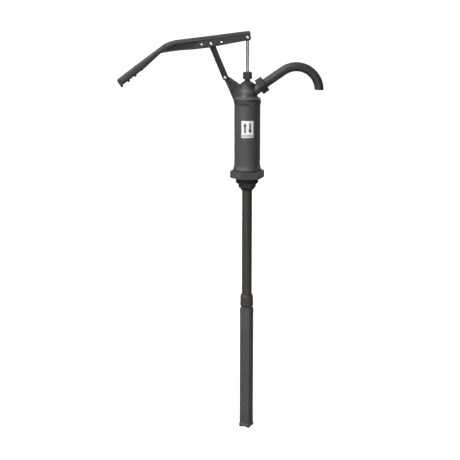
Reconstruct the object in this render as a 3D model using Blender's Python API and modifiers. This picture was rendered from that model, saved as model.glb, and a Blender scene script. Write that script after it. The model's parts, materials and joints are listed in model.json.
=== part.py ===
"""Lever-action drum pump: a barrel pump that screws into a drum's two-inch bung.

A lever above the head lifts a piston rod, a rocking link ties the lever to a bracket on the
head, a curved spout swivels in a union nut, and a telescopic suction tube reaches the bottom
of the drum. The origin is the centre of the face that seats on the drum, +Z is up along the
pump's axis, +X points to the spout and -X to the handle. Design lengths are in millimetres
and the model is built in metres.
"""
import math

import bmesh
import bpy
from mathutils import Matrix, Vector

MM = 0.001
GAP = 0.3                      # clearance between pieces that touch or slide

# Facets round a full turn
FINE = 24
MEDIUM = 20
SMALL = 12

# Bung adapter: a hexagon that seats on the drum, with a G 2 thread below it
BUNG_HEX_TOP = 19.0
BUNG_HEX_CORNER = 45.4
BUNG_HEX_TURN = -18.0          # degrees from the front corner towards the spout side
THREAD_CREST = 29.8
THREAD_ROOT = 28.3
THREAD_PITCH = 2.309
THREAD_TURNS = 5
THREAD_BOTTOM = -15.0
SEAL_RECESS_R = 30.8
SEAL_RECESS_DEPTH = 1.2
ADAPTER_BOTTOM = -33.0
SOCKET_R = 13.6
SOCKET_TOP = -2.0
VALVE_SEAT_Z = 8.0
VALVE_CHAMBER_R = 24.0
ADAPTER_SPIGOT_R = 29.2
ADAPTER_SPIGOT_TOP = 31.0

# Pump cylinder
CYLINDER_R = 34.0
CYLINDER_BORE = 29.5
CYLINDER_BOTTOM = 20.6
CYLINDER_SHOULDER = 191.7
CYLINDER_TOP = 199.0
CYLINDER_SPIGOT_R = 32.0
LABEL_HALF_WIDTH = 16.0        # along the cylinder's surface
LABEL_BOTTOM = 109.0
LABEL_TOP = 152.8

# Pump head
HEAD_BOTTOM = 192.0
HEAD_SHOULDER = 201.1
ROD_BORE = 4.6
PACKING_BOTTOM = 262.0
PACKING_BORE = 7.0
NECK_THREAD_R = 8.5
NECK_TOP = 269.7
PACKING_NUT_CORNER = 12.1

# Outlet: an inclined axis through the head, measured by the distance s along it
OUTLET_Z = 215.0
OUTLET_RISE = 34.5             # degrees above horizontal
OUTLET_BORE = 8.5
OUTLET_BOSS_R = 13.5
OUTLET_THREAD_R = 15.8
OUTLET_THREAD_START = 38.5
OUTLET_FACE = 47.0
UNION_START = 38.2
UNION_END = 55.2
UNION_ACROSS_FLATS = 39.3
SPOUT_FLANGE_START = 48.3
SPOUT_FLANGE_END = 51.0
SPOUT_R = 12.0
SPOUT_STRAIGHT_END = 112.0
SPOUT_BEND_R = 59.2
SPOUT_SWEEP = 127.0            # degrees, trimmed by the mouth's level cut
SPOUT_MOUTH_Z = 233.5

# Lever linkage, (X, Z) in the plane Y = 0
ROD_PIVOT = (0.0, 364.4)
LINK_PIVOT = (-92.9, 347.7)
BRACKET_PIVOT = (-57.0, 261.5)
PIN_R = 3.0
PIN_HOLE_R = 3.3
PIN_HEAD_R = 4.3
PIN_HEAD_H = 2.2

# Lever: an inverted channel with a wider, sloping-shouldered top flange, and a solid grip
LEVER_WEB_Y = 12.5
LEVER_FLANGE_Y = 14.0
LEVER_CHANNEL_Y = 9.5
FLANGE_DEPTH = 9.0
FLANGE_SHOULDER = 6.5
LEVER_TOP_FRONT = (5.0, 380.0)
LEVER_TOP_BEND = (-182.3, 356.9)
LEVER_BEND = ((-196.0, 353.6), (-209.5, 348.9))
GRIP_START = (-222.2, 341.5)
GRIP_TIP = (-337.5, 255.6)
GRIP_NECK_DEPTH = 14.5
GRIP_DEPTH = 20.0
FINGER_PITCH = 22.3
LEVER_HOLES = ((-117.9, 345.6), (-66.9, 351.5))
LEVER_HOLE_R = 2.7

# Links: two plates, one each side of the bracket's ear
LINK_HALF_WIDTH = 7.6
LINK_INNER_Y = 4.8
LINK_OUTER_Y = 8.8
BRACKET_Y = 4.5

# Suction tubes
INNER_TUBE_R = 13.3
INNER_TUBE_BORE = 11.3
INNER_TUBE_TOP = -4.0
INNER_TUBE_BOTTOM = -672.0
CLAMP_TOP = -319.0
CLAMP_BOTTOM = -351.5
CLAMP_THREAD_R = 15.5
SPIGOT_R = 15.2
SPIGOT_TOP = -330.0
SPIGOT_NECK_R = 14.4
OUTER_TUBE_TOP = -353.8
OUTER_TUBE_BOTTOM = -686.0
OUTER_TUBE_CORNER = 19.2
OUTER_TUBE_FILLET = 4.0
OUTER_TUBE_TURN = 20.0         # degrees from the front corner towards the spout side
FOOT_BOTTOM = -697.0
FOOT_CORNER = 20.7
FOOT_NOTCH_WIDTH = 11.0
FOOT_NOTCH_HEIGHT = 2.5

# Piston and its valve, at the top of the stroke
PISTON_R = 28.9
PISTON_TOP = 127.0
PISTON_BOTTOM = 103.0
CUP_GROOVE_R = 25.0
CUP_LIP_R = 26.5
STUD_R = 3.3
ROD_R = 4.3


def new_collection(name):
    collection = bpy.data.collections.new(name)
    bpy.context.scene.collection.children.link(collection)
    return collection


def material(name, color, roughness, metallic=0.0):
    mat = bpy.data.materials.new(name)
    mat.use_nodes = True
    shader = mat.node_tree.nodes["Principled BSDF"]
    shader.inputs["Base Color"].default_value = (*color, 1.0)
    shader.inputs["Roughness"].default_value = roughness
    shader.inputs["Metallic"].default_value = metallic
    return mat


def new_object(name, mesh, collection):
    obj = bpy.data.objects.new(name, mesh)
    collection.objects.link(obj)
    if collection is HELPERS:
        obj.hide_render = True
        obj.display_type = "WIRE"
    return obj


def settle(obj):
    """Turn an object's modifiers into plain mesh."""
    depsgraph = bpy.context.evaluated_depsgraph_get()
    mesh = bpy.data.meshes.new_from_object(obj.evaluated_get(depsgraph))
    obj.modifiers.clear()
    obj.data = mesh


def boolean(obj, operation, *others):
    for other in others:
        modifier = obj.modifiers.new(operation.lower(), "BOOLEAN")
        modifier.operation = operation
        modifier.object = other
        settle(obj)
        bm = bmesh.new()
        bm.from_mesh(obj.data)
        bmesh.ops.remove_doubles(bm, verts=bm.verts, dist=0.00002)
        bmesh.ops.dissolve_degenerate(bm, edges=bm.edges, dist=0.00001)
        bm.to_mesh(obj.data)
        bm.free()


def turned(name, outline, segments, collection, place=Matrix()):
    """Revolve (radius, height) points about Z. A closed ring runs down its outer side first;
    a solid piece starts and ends on the axis."""
    mesh = bpy.data.meshes.new(name)
    bm = bmesh.new()
    points = [bm.verts.new((radius * MM, 0.0, height * MM)) for radius, height in outline]
    for first, second in zip(points, points[1:]):
        bm.edges.new((first, second))
    if outline[0][0] > 0:
        bm.edges.new((points[-1], points[0]))
    bm.to_mesh(mesh)
    bm.free()
    obj = new_object(name, mesh, collection)
    screw = obj.modifiers.new("revolve", "SCREW")
    screw.axis = "Z"
    screw.angle = math.tau
    screw.steps = segments
    screw.render_steps = segments
    screw.use_merge_vertices = True
    screw.merge_threshold = 0.00001
    settle(obj)
    obj.data.transform(place)
    return obj


def cylinder(name, radius, low, high, segments, collection, place=Matrix(), turn=0.0):
    """A solid bar along local Z; with six segments it is a hexagon, corner to the front."""
    mesh = bpy.data.meshes.new(name)
    bm = bmesh.new()
    centre = Matrix.Translation((0, 0, (low + high) / 2 * MM))
    bmesh.ops.create_cone(bm, cap_ends=True, segments=segments, radius1=radius * MM,
                          radius2=radius * MM, depth=(high - low) * MM,
                          matrix=centre @ Matrix.Rotation(math.radians(turn), 4, "Z"))
    bm.to_mesh(mesh)
    bm.free()
    mesh.transform(place)
    return new_object(name, mesh, collection)


def box(name, low, high, collection, place=Matrix()):
    mesh = bpy.data.meshes.new(name)
    bm = bmesh.new()
    low, high = Vector(low) * MM, Vector(high) * MM
    scale = Matrix.Diagonal((*(high - low), 1.0))
    bmesh.ops.create_cube(bm, size=1.0, matrix=place @ Matrix.Translation((low + high) / 2) @ scale)
    bm.to_mesh(mesh)
    bm.free()
    return new_object(name, mesh, collection)


def mesh_from_curve(name, curve, collection, place=Matrix()):
    """Make the closed mesh of a curve object, with its caps welded on."""
    source = bpy.data.objects.new(name + "_curve", curve)
    HELPERS.objects.link(source)
    depsgraph = bpy.context.evaluated_depsgraph_get()
    mesh = bpy.data.meshes.new_from_object(source.evaluated_get(depsgraph))
    bpy.data.objects.remove(source)
    bm = bmesh.new()
    bm.from_mesh(mesh)
    bmesh.ops.remove_doubles(bm, verts=bm.verts, dist=0.00001)
    bmesh.ops.recalc_face_normals(bm, faces=bm.faces)
    bm.to_mesh(mesh)
    bm.free()
    mesh.transform(place)
    return new_object(name, mesh, collection)


def extruded(name, outline, low, high, collection, place=Matrix()):
    """Extrude a flat (x, y) outline along local Z."""
    curve = bpy.data.curves.new(name, "CURVE")
    curve.dimensions = "2D"
    curve.fill_mode = "BOTH"
    curve.extrude = (high - low) / 2 * MM
    spline = curve.splines.new("POLY")
    spline.points.add(len(outline) - 1)
    for point, (x, y) in zip(spline.points, outline):
        point.co = (x * MM, y * MM, 0.0, 1.0)
    spline.use_cyclic_u = True
    middle = Matrix.Translation((0, 0, (low + high) / 2 * MM))
    return mesh_from_curve(name, curve, collection, place @ middle)


# Local X, Y of a side view become world X, Z, and local Z becomes world -Y
SIDE_VIEW = Matrix.Rotation(math.radians(90), 4, "X")


def side_plate(name, outline, half_width, collection):
    """Extrude an (X, Z) outline symmetrically about the plane Y = 0."""
    return extruded(name, outline, -half_width, half_width, collection, SIDE_VIEW)


def cross_bar(name, centre, radius, near, far, segments, collection):
    """A round bar along Y through the (X, Z) point centre, from Y = near to Y = far."""
    place = Matrix.Translation((centre[0] * MM, 0, centre[1] * MM)) @ SIDE_VIEW
    return cylinder(name, radius, -far, -near, segments, collection, place)


def arc(centre, radius, start, end, steps):
    """Points on a circle from one angle to another, in degrees from +X."""
    points = []
    for step in range(steps + 1):
        angle = math.radians(start + (end - start) * step / steps)
        points.append((centre[0] + radius * math.cos(angle), centre[1] + radius * math.sin(angle)))
    return points


def rounded_square(corner, fillet, turn):
    """A square with rounded corners; turn is measured from the front towards +X."""
    points = []
    for index in range(4):
        angle = -90 + turn + 90 * index
        direction = math.radians(angle)
        centre = ((corner - fillet) * math.cos(direction), (corner - fillet) * math.sin(direction))
        points += arc(centre, fillet, angle - 45, angle + 45, 4)
    return points


# ---------------------------------------------------------------- bung adapter and foot valve

def thread_outline(crest, root, top, pitch, turns):
    """Ridges down the outside of a threaded length."""
    points = []
    for turn in range(turns):
        ridge = top - turn * pitch
        points += [(root, ridge), (crest, ridge - 0.4 * pitch), (crest, ridge - 0.6 * pitch)]
    points.append((root, top - turns * pitch))
    return points


def build_bung_adapter():
    thread = thread_outline(THREAD_CREST, THREAD_ROOT, -1.5, THREAD_PITCH, THREAD_TURNS)
    adapter = turned("bung_adapter", [
        (ADAPTER_SPIGOT_R, ADAPTER_SPIGOT_TOP), (ADAPTER_SPIGOT_R, 10.0), (THREAD_ROOT, 10.0),
        *thread, (THREAD_ROOT, THREAD_BOTTOM), (23.0, THREAD_BOTTOM), (23.0, -26.0),
        (15.5, ADAPTER_BOTTOM), (SOCKET_R, ADAPTER_BOTTOM), (SOCKET_R, SOCKET_TOP),
        (9.0, SOCKET_TOP), (9.0, VALVE_SEAT_Z), (VALVE_CHAMBER_R, VALVE_SEAT_Z),
        (VALVE_CHAMBER_R, ADAPTER_SPIGOT_TOP)], FINE, PART)
    hexagon = cylinder("adapter_hexagon", BUNG_HEX_CORNER, 0.0, BUNG_HEX_TOP, 6, HELPERS,
                       turn=BUNG_HEX_TURN)
    rounding = turned("adapter_rounding", [
        (0.0, BUNG_HEX_TOP + 2.5), (35.0, BUNG_HEX_TOP + 2.5), (46.0, 16.5), (46.0, 1.5),
        (43.0, -0.3), (40.0, -2.0), (0.0, -2.0)], FINE, HELPERS)
    core = cylinder("adapter_core", 26.0, -5.0, 25.0, FINE, HELPERS)
    seal_recess = cylinder("adapter_seal_recess", SEAL_RECESS_R, -5.0, SEAL_RECESS_DEPTH, FINE,
                           HELPERS)
    boolean(hexagon, "INTERSECT", rounding)
    boolean(hexagon, "DIFFERENCE", core, seal_recess)
    boolean(adapter, "UNION", hexagon)
    return adapter


def build_foot_valve():
    disc = turned("foot_valve_disc", [
        (0.0, 19.0), (2.0, 19.0), (2.0, VALVE_SEAT_Z + 3.3), (13.0, VALVE_SEAT_Z + 3.3),
        (13.0, VALVE_SEAT_Z + GAP), (0.0, VALVE_SEAT_Z + GAP)], MEDIUM, PART)
    cage = turned("foot_valve_cage", [
        (23.7, 18.5), (23.7, VALVE_SEAT_Z + GAP), (20.0, VALVE_SEAT_Z + GAP), (20.0, 18.5)],
        MEDIUM, PART)
    for spoke in range(3):
        turn = Matrix.Rotation(math.radians(120 * spoke), 4, "Z")
        boolean(cage, "UNION", box(f"cage_spoke_{spoke}", (3.0, -1.5, 16.0), (21.5, 1.5, 18.4),
                                   HELPERS, turn))
    hub = turned("cage_hub", [(4.5, 18.7), (4.5, 15.8), (2.4, 15.8), (2.4, 18.7)], SMALL, HELPERS)
    bore = cylinder("cage_bore", 2.4, 15.0, 20.0, SMALL, HELPERS)
    boolean(cage, "DIFFERENCE", bore)
    boolean(cage, "UNION", hub)
    return [disc, cage]


# ---------------------------------------------------------------- cylinder and head

def build_cylinder():
    return turned("cylinder", [
        (CYLINDER_SPIGOT_R, CYLINDER_TOP), (CYLINDER_SPIGOT_R, CYLINDER_SHOULDER),
        (CYLINDER_R, CYLINDER_SHOULDER), (CYLINDER_R, 33.0), (36.9, 23.5),
        (36.9, CYLINDER_BOTTOM), (CYLINDER_BORE, CYLINDER_BOTTOM),
        (CYLINDER_BORE, CYLINDER_TOP)], FINE, PART)


def build_label():
    """A thin plate that wraps round the front of the cylinder."""
    inner, outer = CYLINDER_R + GAP, CYLINDER_R + GAP + 0.5
    spread = math.degrees(LABEL_HALF_WIDTH / CYLINDER_R)
    outline = (arc((0, 0), outer, -90 - spread, -90 + spread, 10)
               + arc((0, 0), inner, -90 + spread, -90 - spread, 10))
    return extruded("label", outline, LABEL_BOTTOM, LABEL_TOP, PART)


def outlet_matrix():
    """Carries local Z onto the outlet's axis, with Z = 0 on the pump's axis."""
    return (Matrix.Translation((0, 0, OUTLET_Z * MM))
            @ Matrix.Rotation(math.radians(90 - OUTLET_RISE), 4, "Y"))


def build_bracket():
    """The triangular web that carries the link pivot, with a rim along its free edges."""
    web = side_plate("bracket_web", [
        (-58.9, 254.8), (-36.2, 203.2), (-31.0, 205.3), (-25.0, 213.0), (-22.0, 226.0),
        (-19.8, 236.0), (-17.0, 240.0), (-18.0, 243.2), (-42.8, 260.0), (-56.0, 268.0)],
        BRACKET_Y, HELPERS)
    ear = cross_bar("bracket_ear", BRACKET_PIVOT, 8.0, -BRACKET_Y, BRACKET_Y, MEDIUM, HELPERS)
    boolean(web, "UNION", ear)
    pocket = [(-50.5, 251.5), (-36.4, 217.0), (-29.5, 217.0), (-28.0, 243.5), (-45.0, 254.5)]
    for side in (-1, 1):
        low, high = sorted((side * 1.8, side * 6.0))
        boolean(web, "DIFFERENCE", extruded(f"bracket_pocket_{side}", pocket, low, high, HELPERS,
                                            SIDE_VIEW))
    return web


def build_pump_head():
    """The cap: its outside with the boss and the bracket, then the hollow inside them."""
    head = turned("pump_head", [
        (0.0, NECK_TOP), (NECK_THREAD_R, NECK_TOP), (NECK_THREAD_R, 258.0), (6.8, 257.2),
        (6.8, 253.0), (10.0, 251.0), (15.6, 247.5), (20.0, 243.0), (21.6, 236.0), (23.4, 226.0),
        (25.0, 217.5), (26.6, 213.5), (29.5, 210.6), (33.2, 208.6), (34.6, 207.2),
        (34.6, 204.0), (35.8, 203.2), (35.8, 198.0), (34.2, HEAD_BOTTOM), (0.0, HEAD_BOTTOM)],
        FINE, PART)
    hollow = turned("head_hollow", [
        (0.0, NECK_TOP + 5.0), (PACKING_BORE, NECK_TOP + 5.0), (PACKING_BORE, PACKING_BOTTOM),
        (ROD_BORE, PACKING_BOTTOM), (ROD_BORE, 247.0), (12.5, 244.0), (16.4, 240.5),
        (18.4, 235.0), (20.4, 226.0), (22.4, 213.0), (27.0, HEAD_SHOULDER),
        (32.3, HEAD_SHOULDER), (32.3, HEAD_BOTTOM - 5.0), (0.0, HEAD_BOTTOM - 5.0)], FINE, HELPERS)
    place = outlet_matrix()
    boss = turned("outlet_boss", [
        (0.0, OUTLET_FACE), (OUTLET_THREAD_R, OUTLET_FACE),
        (OUTLET_THREAD_R, OUTLET_THREAD_START), (OUTLET_BOSS_R, OUTLET_THREAD_START - 1.0),
        (OUTLET_BOSS_R, 15.0), (0.0, 15.0)], MEDIUM, HELPERS, place)
    bore = cylinder("outlet_bore", OUTLET_BORE, 8.0, 60.0, MEDIUM, HELPERS, place)
    pin_hole = cross_bar("bracket_pin_hole", BRACKET_PIVOT, PIN_HOLE_R, -10.0, 10.0, SMALL,
                         HELPERS)
    boolean(head, "UNION", boss, build_bracket())
    boolean(head, "DIFFERENCE", hollow, bore, pin_hole)
    return head


def build_packing_nut():
    nut = cylinder("packing_nut", PACKING_NUT_CORNER, 257.5, 275.4, 6, PART, turn=30.0)
    rounding = turned("packing_nut_rounding", [
        (0.0, 278.0), (6.7, 278.0), (14.0, 273.0), (14.0, 255.0), (0.0, 255.0)], MEDIUM, HELPERS)
    thread = cylinder("packing_nut_thread", NECK_THREAD_R + GAP, 250.0, 270.5, MEDIUM, HELPERS)
    passage = cylinder("packing_nut_passage", ROD_BORE, 265.0, 280.0, MEDIUM, HELPERS)
    boolean(nut, "INTERSECT", rounding)
    boolean(nut, "DIFFERENCE", thread, passage)
    return nut


# ---------------------------------------------------------------- spout

def spout_path(start):
    """Points along the spout's centre line: straight out of the head, then one long bend."""
    rise = math.radians(OUTLET_RISE)
    along = Vector((math.cos(rise), 0, math.sin(rise)))
    root = Vector((0, 0, OUTLET_Z))
    points = [root + along * start, root + along * SPOUT_STRAIGHT_END]
    inward = Vector((math.sin(rise), 0, -math.cos(rise)))
    centre = points[-1] + inward * SPOUT_BEND_R
    steps = 14
    for step in range(1, steps + 1):
        angle = math.radians(90 + OUTLET_RISE - SPOUT_SWEEP * step / steps)
        points.append(centre + Vector((math.cos(angle), 0, math.sin(angle))) * SPOUT_BEND_R)
    return points


def bent_bar(name, points, radius, collection):
    curve = bpy.data.curves.new(name, "CURVE")
    curve.dimensions = "3D"
    curve.bevel_depth = radius * MM
    curve.bevel_resolution = 6
    curve.use_fill_caps = True
    spline = curve.splines.new("POLY")
    spline.points.add(len(points) - 1)
    for point, place in zip(spline.points, points):
        point.co = (*(place * MM), 1.0)
    return mesh_from_curve(name, curve, collection)


def build_spout():
    place = outlet_matrix()
    path = spout_path(SPOUT_FLANGE_START)
    spout = bent_bar("spout", path, SPOUT_R, PART)
    flange = cylinder("spout_flange", 15.5, SPOUT_FLANGE_START - 0.001, SPOUT_FLANGE_END, MEDIUM,
                      HELPERS, place)
    bore_path = spout_path(SPOUT_FLANGE_START - 10.0)
    overrun = (bore_path[-1] - bore_path[-2]).normalized() * 4.0
    bore = bent_bar("spout_bore", bore_path + [bore_path[-1] + overrun], OUTLET_BORE, HELPERS)
    mouth = box("spout_mouth_cut", (165.0, -20.0, 190.0), (210.0, 20.0, SPOUT_MOUTH_Z), HELPERS)
    boolean(spout, "UNION", flange)
    boolean(spout, "DIFFERENCE", bore, mouth)
    seal = turned("spout_seal", [
        (15.0, 48.0), (15.0, 47.3), (9.0, 47.3), (9.0, 48.0)], MEDIUM, PART, place)
    return [spout, seal]


def build_spout_nut():
    place = outlet_matrix()
    corner = UNION_ACROSS_FLATS / 2 / math.cos(math.radians(30))
    nut = cylinder("spout_nut", corner, UNION_START, UNION_END, 6, PART, place)
    rounding = turned("spout_nut_rounding", [
        (0.0, UNION_END + 1.0), (20.5, UNION_END + 1.0), (23.5, UNION_END - 1.5),
        (23.5, UNION_START + 1.5), (20.5, UNION_START - 1.0), (0.0, UNION_START - 1.0)], MEDIUM,
        HELPERS, place)
    thread = cylinder("spout_nut_thread", OUTLET_THREAD_R + GAP, 30.0, SPOUT_FLANGE_END + GAP,
                      MEDIUM, HELPERS, place)
    passage = cylinder("spout_nut_passage", SPOUT_R + GAP, 40.0, 60.0, MEDIUM, HELPERS, place)
    boolean(nut, "INTERSECT", rounding)
    boolean(nut, "DIFFERENCE", thread, passage)
    return nut


# ---------------------------------------------------------------- lever and links

def top_line(x):
    """Height of the lever's straight top edge at x."""
    (x0, z0), (x1, z1) = LEVER_TOP_FRONT, LEVER_TOP_BEND
    return z0 + (z1 - z0) * (x - x0) / (x1 - x0)


def grip_point(along, depth):
    """A point on the grip, by its distance along the top edge and its depth below that edge."""
    start, tip = Vector(GRIP_START), Vector(GRIP_TIP)
    direction = (tip - start).normalized()
    below = Vector((-direction.y, direction.x))
    point = start + direction * along + below * depth
    return (point.x, point.y)


def grip_underside():
    """The grip's lower edge, from its neck to the hook at its tip, with finger ridges."""
    length = (Vector(GRIP_TIP) - Vector(GRIP_START)).length
    last_ridge = length - 1.0
    points = []
    steps = 30
    for step in range(steps + 1):
        along = 12.0 + (last_ridge - 12.0) * step / steps
        swell = GRIP_NECK_DEPTH + (GRIP_DEPTH - GRIP_NECK_DEPTH) * min(1.0, (along - 12.0) / 55.0)
        fade = min(1.0, max(0.0, (along - 60.0) / 40.0))
        ridge = 5.0 * fade * max(0.0, math.cos(math.tau * (along - last_ridge) / FINGER_PITCH)) ** 1.5
        points.append(grip_point(along, swell + ridge))
    return points


def lever_outline():
    tip = math.dist(GRIP_TIP, GRIP_START)
    top = [(8.4, 367.5), (4.0, top_line(4.0) - 2.0), (-182.3, top_line(-182.3) - 2.0),
           (-196.0, 351.0), (-209.5, 346.0), grip_point(0.0, 2.0), grip_point(tip - 6.0, 2.0),
           grip_point(tip, 4.5), grip_point(tip + 2.0, 12.0), grip_point(tip + 1.5, 23.6)]
    bottom = [(-193.9, 328.4), (-173.4, 331.0), (-142.6, 333.0), (-98.9, 337.8), (-79.7, 341.6)]
    nose = arc(ROD_PIVOT, 9.2, -110, -18, 4)
    return top + grip_underside()[::-1] + bottom + nose


def shouldered_plate(name, top, bottom, half_width, shoulder, collection):
    """A solid about the plane Y = 0, between a top line that runs towards -X and a bottom line
    that runs back. Its two long upper edges are cut away at 45 degrees."""
    lowered = []
    for index, point in enumerate(top):
        if index == 0:
            below = Vector(bottom[-1]) - Vector(point)
        elif index == len(top) - 1:
            below = Vector(bottom[0]) - Vector(point)
        else:
            along = Vector(top[index + 1]) - Vector(top[index - 1])
            below = Vector((-along.y, along.x))
        lowered.append(Vector(point) + below.normalized() * shoulder)
    bm = bmesh.new()
    rings = []
    for y in (-half_width, shoulder - half_width, half_width - shoulder, half_width):
        upper = lowered if abs(y) == half_width else top
        rings.append([bm.verts.new((point[0] * MM, y * MM, point[1] * MM))
                      for point in [*upper, *bottom]])
    for near, far in zip(rings, rings[1:]):
        for index, vert in enumerate(near):
            bm.faces.new((vert, near[index - 1], far[index - 1], far[index]))
    bm.faces.new(rings[0])
    bm.faces.new(rings[-1][::-1])
    bmesh.ops.recalc_face_normals(bm, faces=bm.faces)
    mesh = bpy.data.meshes.new(name)
    bm.to_mesh(mesh)
    bm.free()
    return new_object(name, mesh, collection)


def build_lever():
    lever = side_plate("lever", lever_outline(), LEVER_WEB_Y, PART)
    tip = math.dist(GRIP_TIP, GRIP_START)
    flange_top = [LEVER_TOP_FRONT, LEVER_TOP_BEND, *LEVER_BEND, GRIP_START,
                  grip_point(tip - 1.0, 0.0)]
    flange_bottom = [grip_point(tip + 1.0, FLANGE_DEPTH), grip_point(3.0, FLANGE_DEPTH),
                     (-205.0, 338.6), (-193.0, 343.8),
                     (-181.3, top_line(-181.3) - FLANGE_DEPTH),
                     (8.8, top_line(8.8) - FLANGE_DEPTH)]
    flange = shouldered_plate("lever_flange", flange_top, flange_bottom, LEVER_FLANGE_Y,
                              FLANGE_SHOULDER, HELPERS)
    channel = side_plate("lever_channel", [
        (20.0, top_line(20.0) - 5.4), (-186.0, top_line(-186.0) - 5.4), (-192.0, 346.0),
        (-192.0, 310.0), (20.0, 310.0)], LEVER_CHANNEL_Y, HELPERS)
    boolean(lever, "UNION", flange)
    boolean(lever, "DIFFERENCE", channel)
    for number, centre in enumerate((ROD_PIVOT, LINK_PIVOT, *LEVER_HOLES)):
        radius = PIN_HOLE_R if number < 2 else LEVER_HOLE_R
        hole = cross_bar(f"lever_hole_{number}", centre, radius, -20.0, 20.0, SMALL, HELPERS)
        boolean(lever, "DIFFERENCE", hole)
    return lever


def build_link(name, side):
    """One link plate, with a raised rim on its outer face and a notch open towards the handle."""
    top, bottom = Vector(LINK_PIVOT), Vector(BRACKET_PIVOT)
    lean = math.degrees(math.atan2(top.y - bottom.y, top.x - bottom.x))
    outline = (arc(top, LINK_HALF_WIDTH, lean - 90, lean + 90, 8)
               + arc(bottom, LINK_HALF_WIDTH, lean + 90, lean + 270, 8))
    low, high = sorted((-side * LINK_INNER_Y, -side * LINK_OUTER_Y))
    link = extruded(name, outline, low, high, PART, SIDE_VIEW)
    axis = (top - bottom).normalized()
    inset_low, inset_high = bottom + axis * 13.0, top - axis * 13.0
    slot = (arc(inset_high, 4.6, lean - 90, lean + 90, 6)
            + arc(inset_low, 4.6, lean + 90, lean + 270, 6))
    low, high = sorted((-side * (LINK_OUTER_Y - 1.2), -side * (LINK_OUTER_Y + 2.0)))
    recess = extruded(name + "_recess", slot, low, high, HELPERS, SIDE_VIEW)
    hole = cross_bar(name + "_hole", BRACKET_PIVOT, PIN_HOLE_R, -12.0, 12.0, SMALL, HELPERS)
    half = PIN_HOLE_R + 0.4
    notch = (arc(top, half, -90, 90, 8) + [(top.x - 20.0, top.y + half + 1.2),
                                           (top.x - 20.0, top.y - half)])
    open_end = side_plate(name + "_notch", notch, 12.0, HELPERS)
    boolean(link, "DIFFERENCE", recess, hole, open_end)
    return link


def build_pin(name, centre, reach):
    """A rivet along Y: a shank with a head at each end, whose inner faces are at +-reach."""
    place = Matrix.Translation((centre[0] * MM, 0, centre[1] * MM)) @ SIDE_VIEW
    crown = reach + PIN_HEAD_H
    outline = [
        (0.0, crown), (PIN_HEAD_R - 1.6, crown - 0.2), (PIN_HEAD_R, reach + 0.8),
        (PIN_HEAD_R, reach), (PIN_R, reach)]
    outline += [(radius, -height) for radius, height in reversed(outline)]
    return turned(name, outline, SMALL, PART, place)


def build_rod_spacer(name, side):
    place = Matrix.Translation((ROD_PIVOT[0] * MM, 0, ROD_PIVOT[1] * MM)) @ SIDE_VIEW
    low, high = sorted((-side * 4.7, -side * 9.2))
    return turned(name, [(6.5, high), (6.5, low), (PIN_HOLE_R, low), (PIN_HOLE_R, high)], SMALL,
                  PART, place)


# ---------------------------------------------------------------- piston rod and piston

def build_piston_rod():
    rod = turned("piston_rod", [
        (0.0, ROD_PIVOT[1]), (ROD_R, ROD_PIVOT[1]), (ROD_R, PISTON_TOP + GAP),
        (STUD_R, PISTON_TOP + GAP), (STUD_R, 96.0), (0.0, 96.0)], SMALL, PART)
    eye = cross_bar("rod_eye", ROD_PIVOT, 7.5, -4.3, 4.3, MEDIUM, HELPERS)
    hole = cross_bar("rod_eye_hole", ROD_PIVOT, PIN_HOLE_R, -8.0, 8.0, SMALL, HELPERS)
    boolean(rod, "UNION", eye)
    boolean(rod, "DIFFERENCE", hole)
    return rod


def build_piston():
    piston = turned("piston", [
        (CUP_LIP_R, PISTON_TOP), (CUP_LIP_R, 125.3), (CUP_GROOVE_R, 125.3), (CUP_GROOVE_R, 118.0),
        (PISTON_R, 118.0), (PISTON_R, 112.0), (CUP_GROOVE_R, 112.0), (CUP_GROOVE_R, 104.7),
        (CUP_LIP_R, 104.7), (CUP_LIP_R, PISTON_BOTTOM), (STUD_R + GAP, PISTON_BOTTOM),
        (STUD_R + GAP, PISTON_TOP)], MEDIUM, PART)
    for port in range(6):
        turn = Matrix.Rotation(math.radians(60 * port), 4, "Z") @ Matrix.Translation((0.013, 0, 0))
        hole = cylinder(f"piston_port_{port}", 3.2, 95.0, 135.0, 8, HELPERS, turn)
        boolean(piston, "DIFFERENCE", hole)
    return piston


def build_piston_fittings():
    """The rings, discs and nut that ride on the piston and its rod."""
    rings = {
        "piston_cup_upper": (CUP_GROOVE_R + GAP, 29.2, 118.3, 125.0),
        "piston_cup_lower": (CUP_GROOVE_R + GAP, 29.2, 105.0, 111.7),
        "piston_valve_disc": (ROD_R + GAP, 18.0, PISTON_TOP + GAP, 129.3),
        "valve_stop_washer": (ROD_R + GAP, 10.0, 133.0, 135.0),
    }
    pieces = []
    for name, (inner, outer, low, high) in rings.items():
        outline = [(outer, high), (outer, low), (inner, low), (inner, high)]
        pieces.append(turned(name, outline, SMALL if outer < 20 else MEDIUM, PART))
    nut = cylinder("piston_nut", 7.0, 97.0, 102.7, 6, PART)
    boolean(nut, "DIFFERENCE", cylinder("piston_nut_bore", STUD_R + GAP, 90.0, 110.0, SMALL,
                                        HELPERS))
    return [*pieces, nut]


# ---------------------------------------------------------------- seals and suction tubes

def build_seals():
    rings = {
        "head_seal": (27.3, 31.8, CYLINDER_TOP + GAP, HEAD_SHOULDER - GAP, FINE),
        "cylinder_seal": (30.0, 36.2, 19.3, 20.3, FINE),
        "tube_socket_seal": (9.6, 13.2, -3.7, -2.3, MEDIUM),
        "gland_packing": (ROD_BORE, PACKING_BORE - GAP, PACKING_BOTTOM + GAP, NECK_TOP, MEDIUM),
        "clamp_ring": (SOCKET_R, SPIGOT_R, SPIGOT_TOP + GAP, -322.0, MEDIUM),
    }
    pieces = {}
    for name, (inner, outer, low, high, segments) in rings.items():
        outline = [(outer, high), (outer, low), (inner, low), (inner, high)]
        pieces[name] = turned(name, outline, segments, PART)
    return pieces


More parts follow.
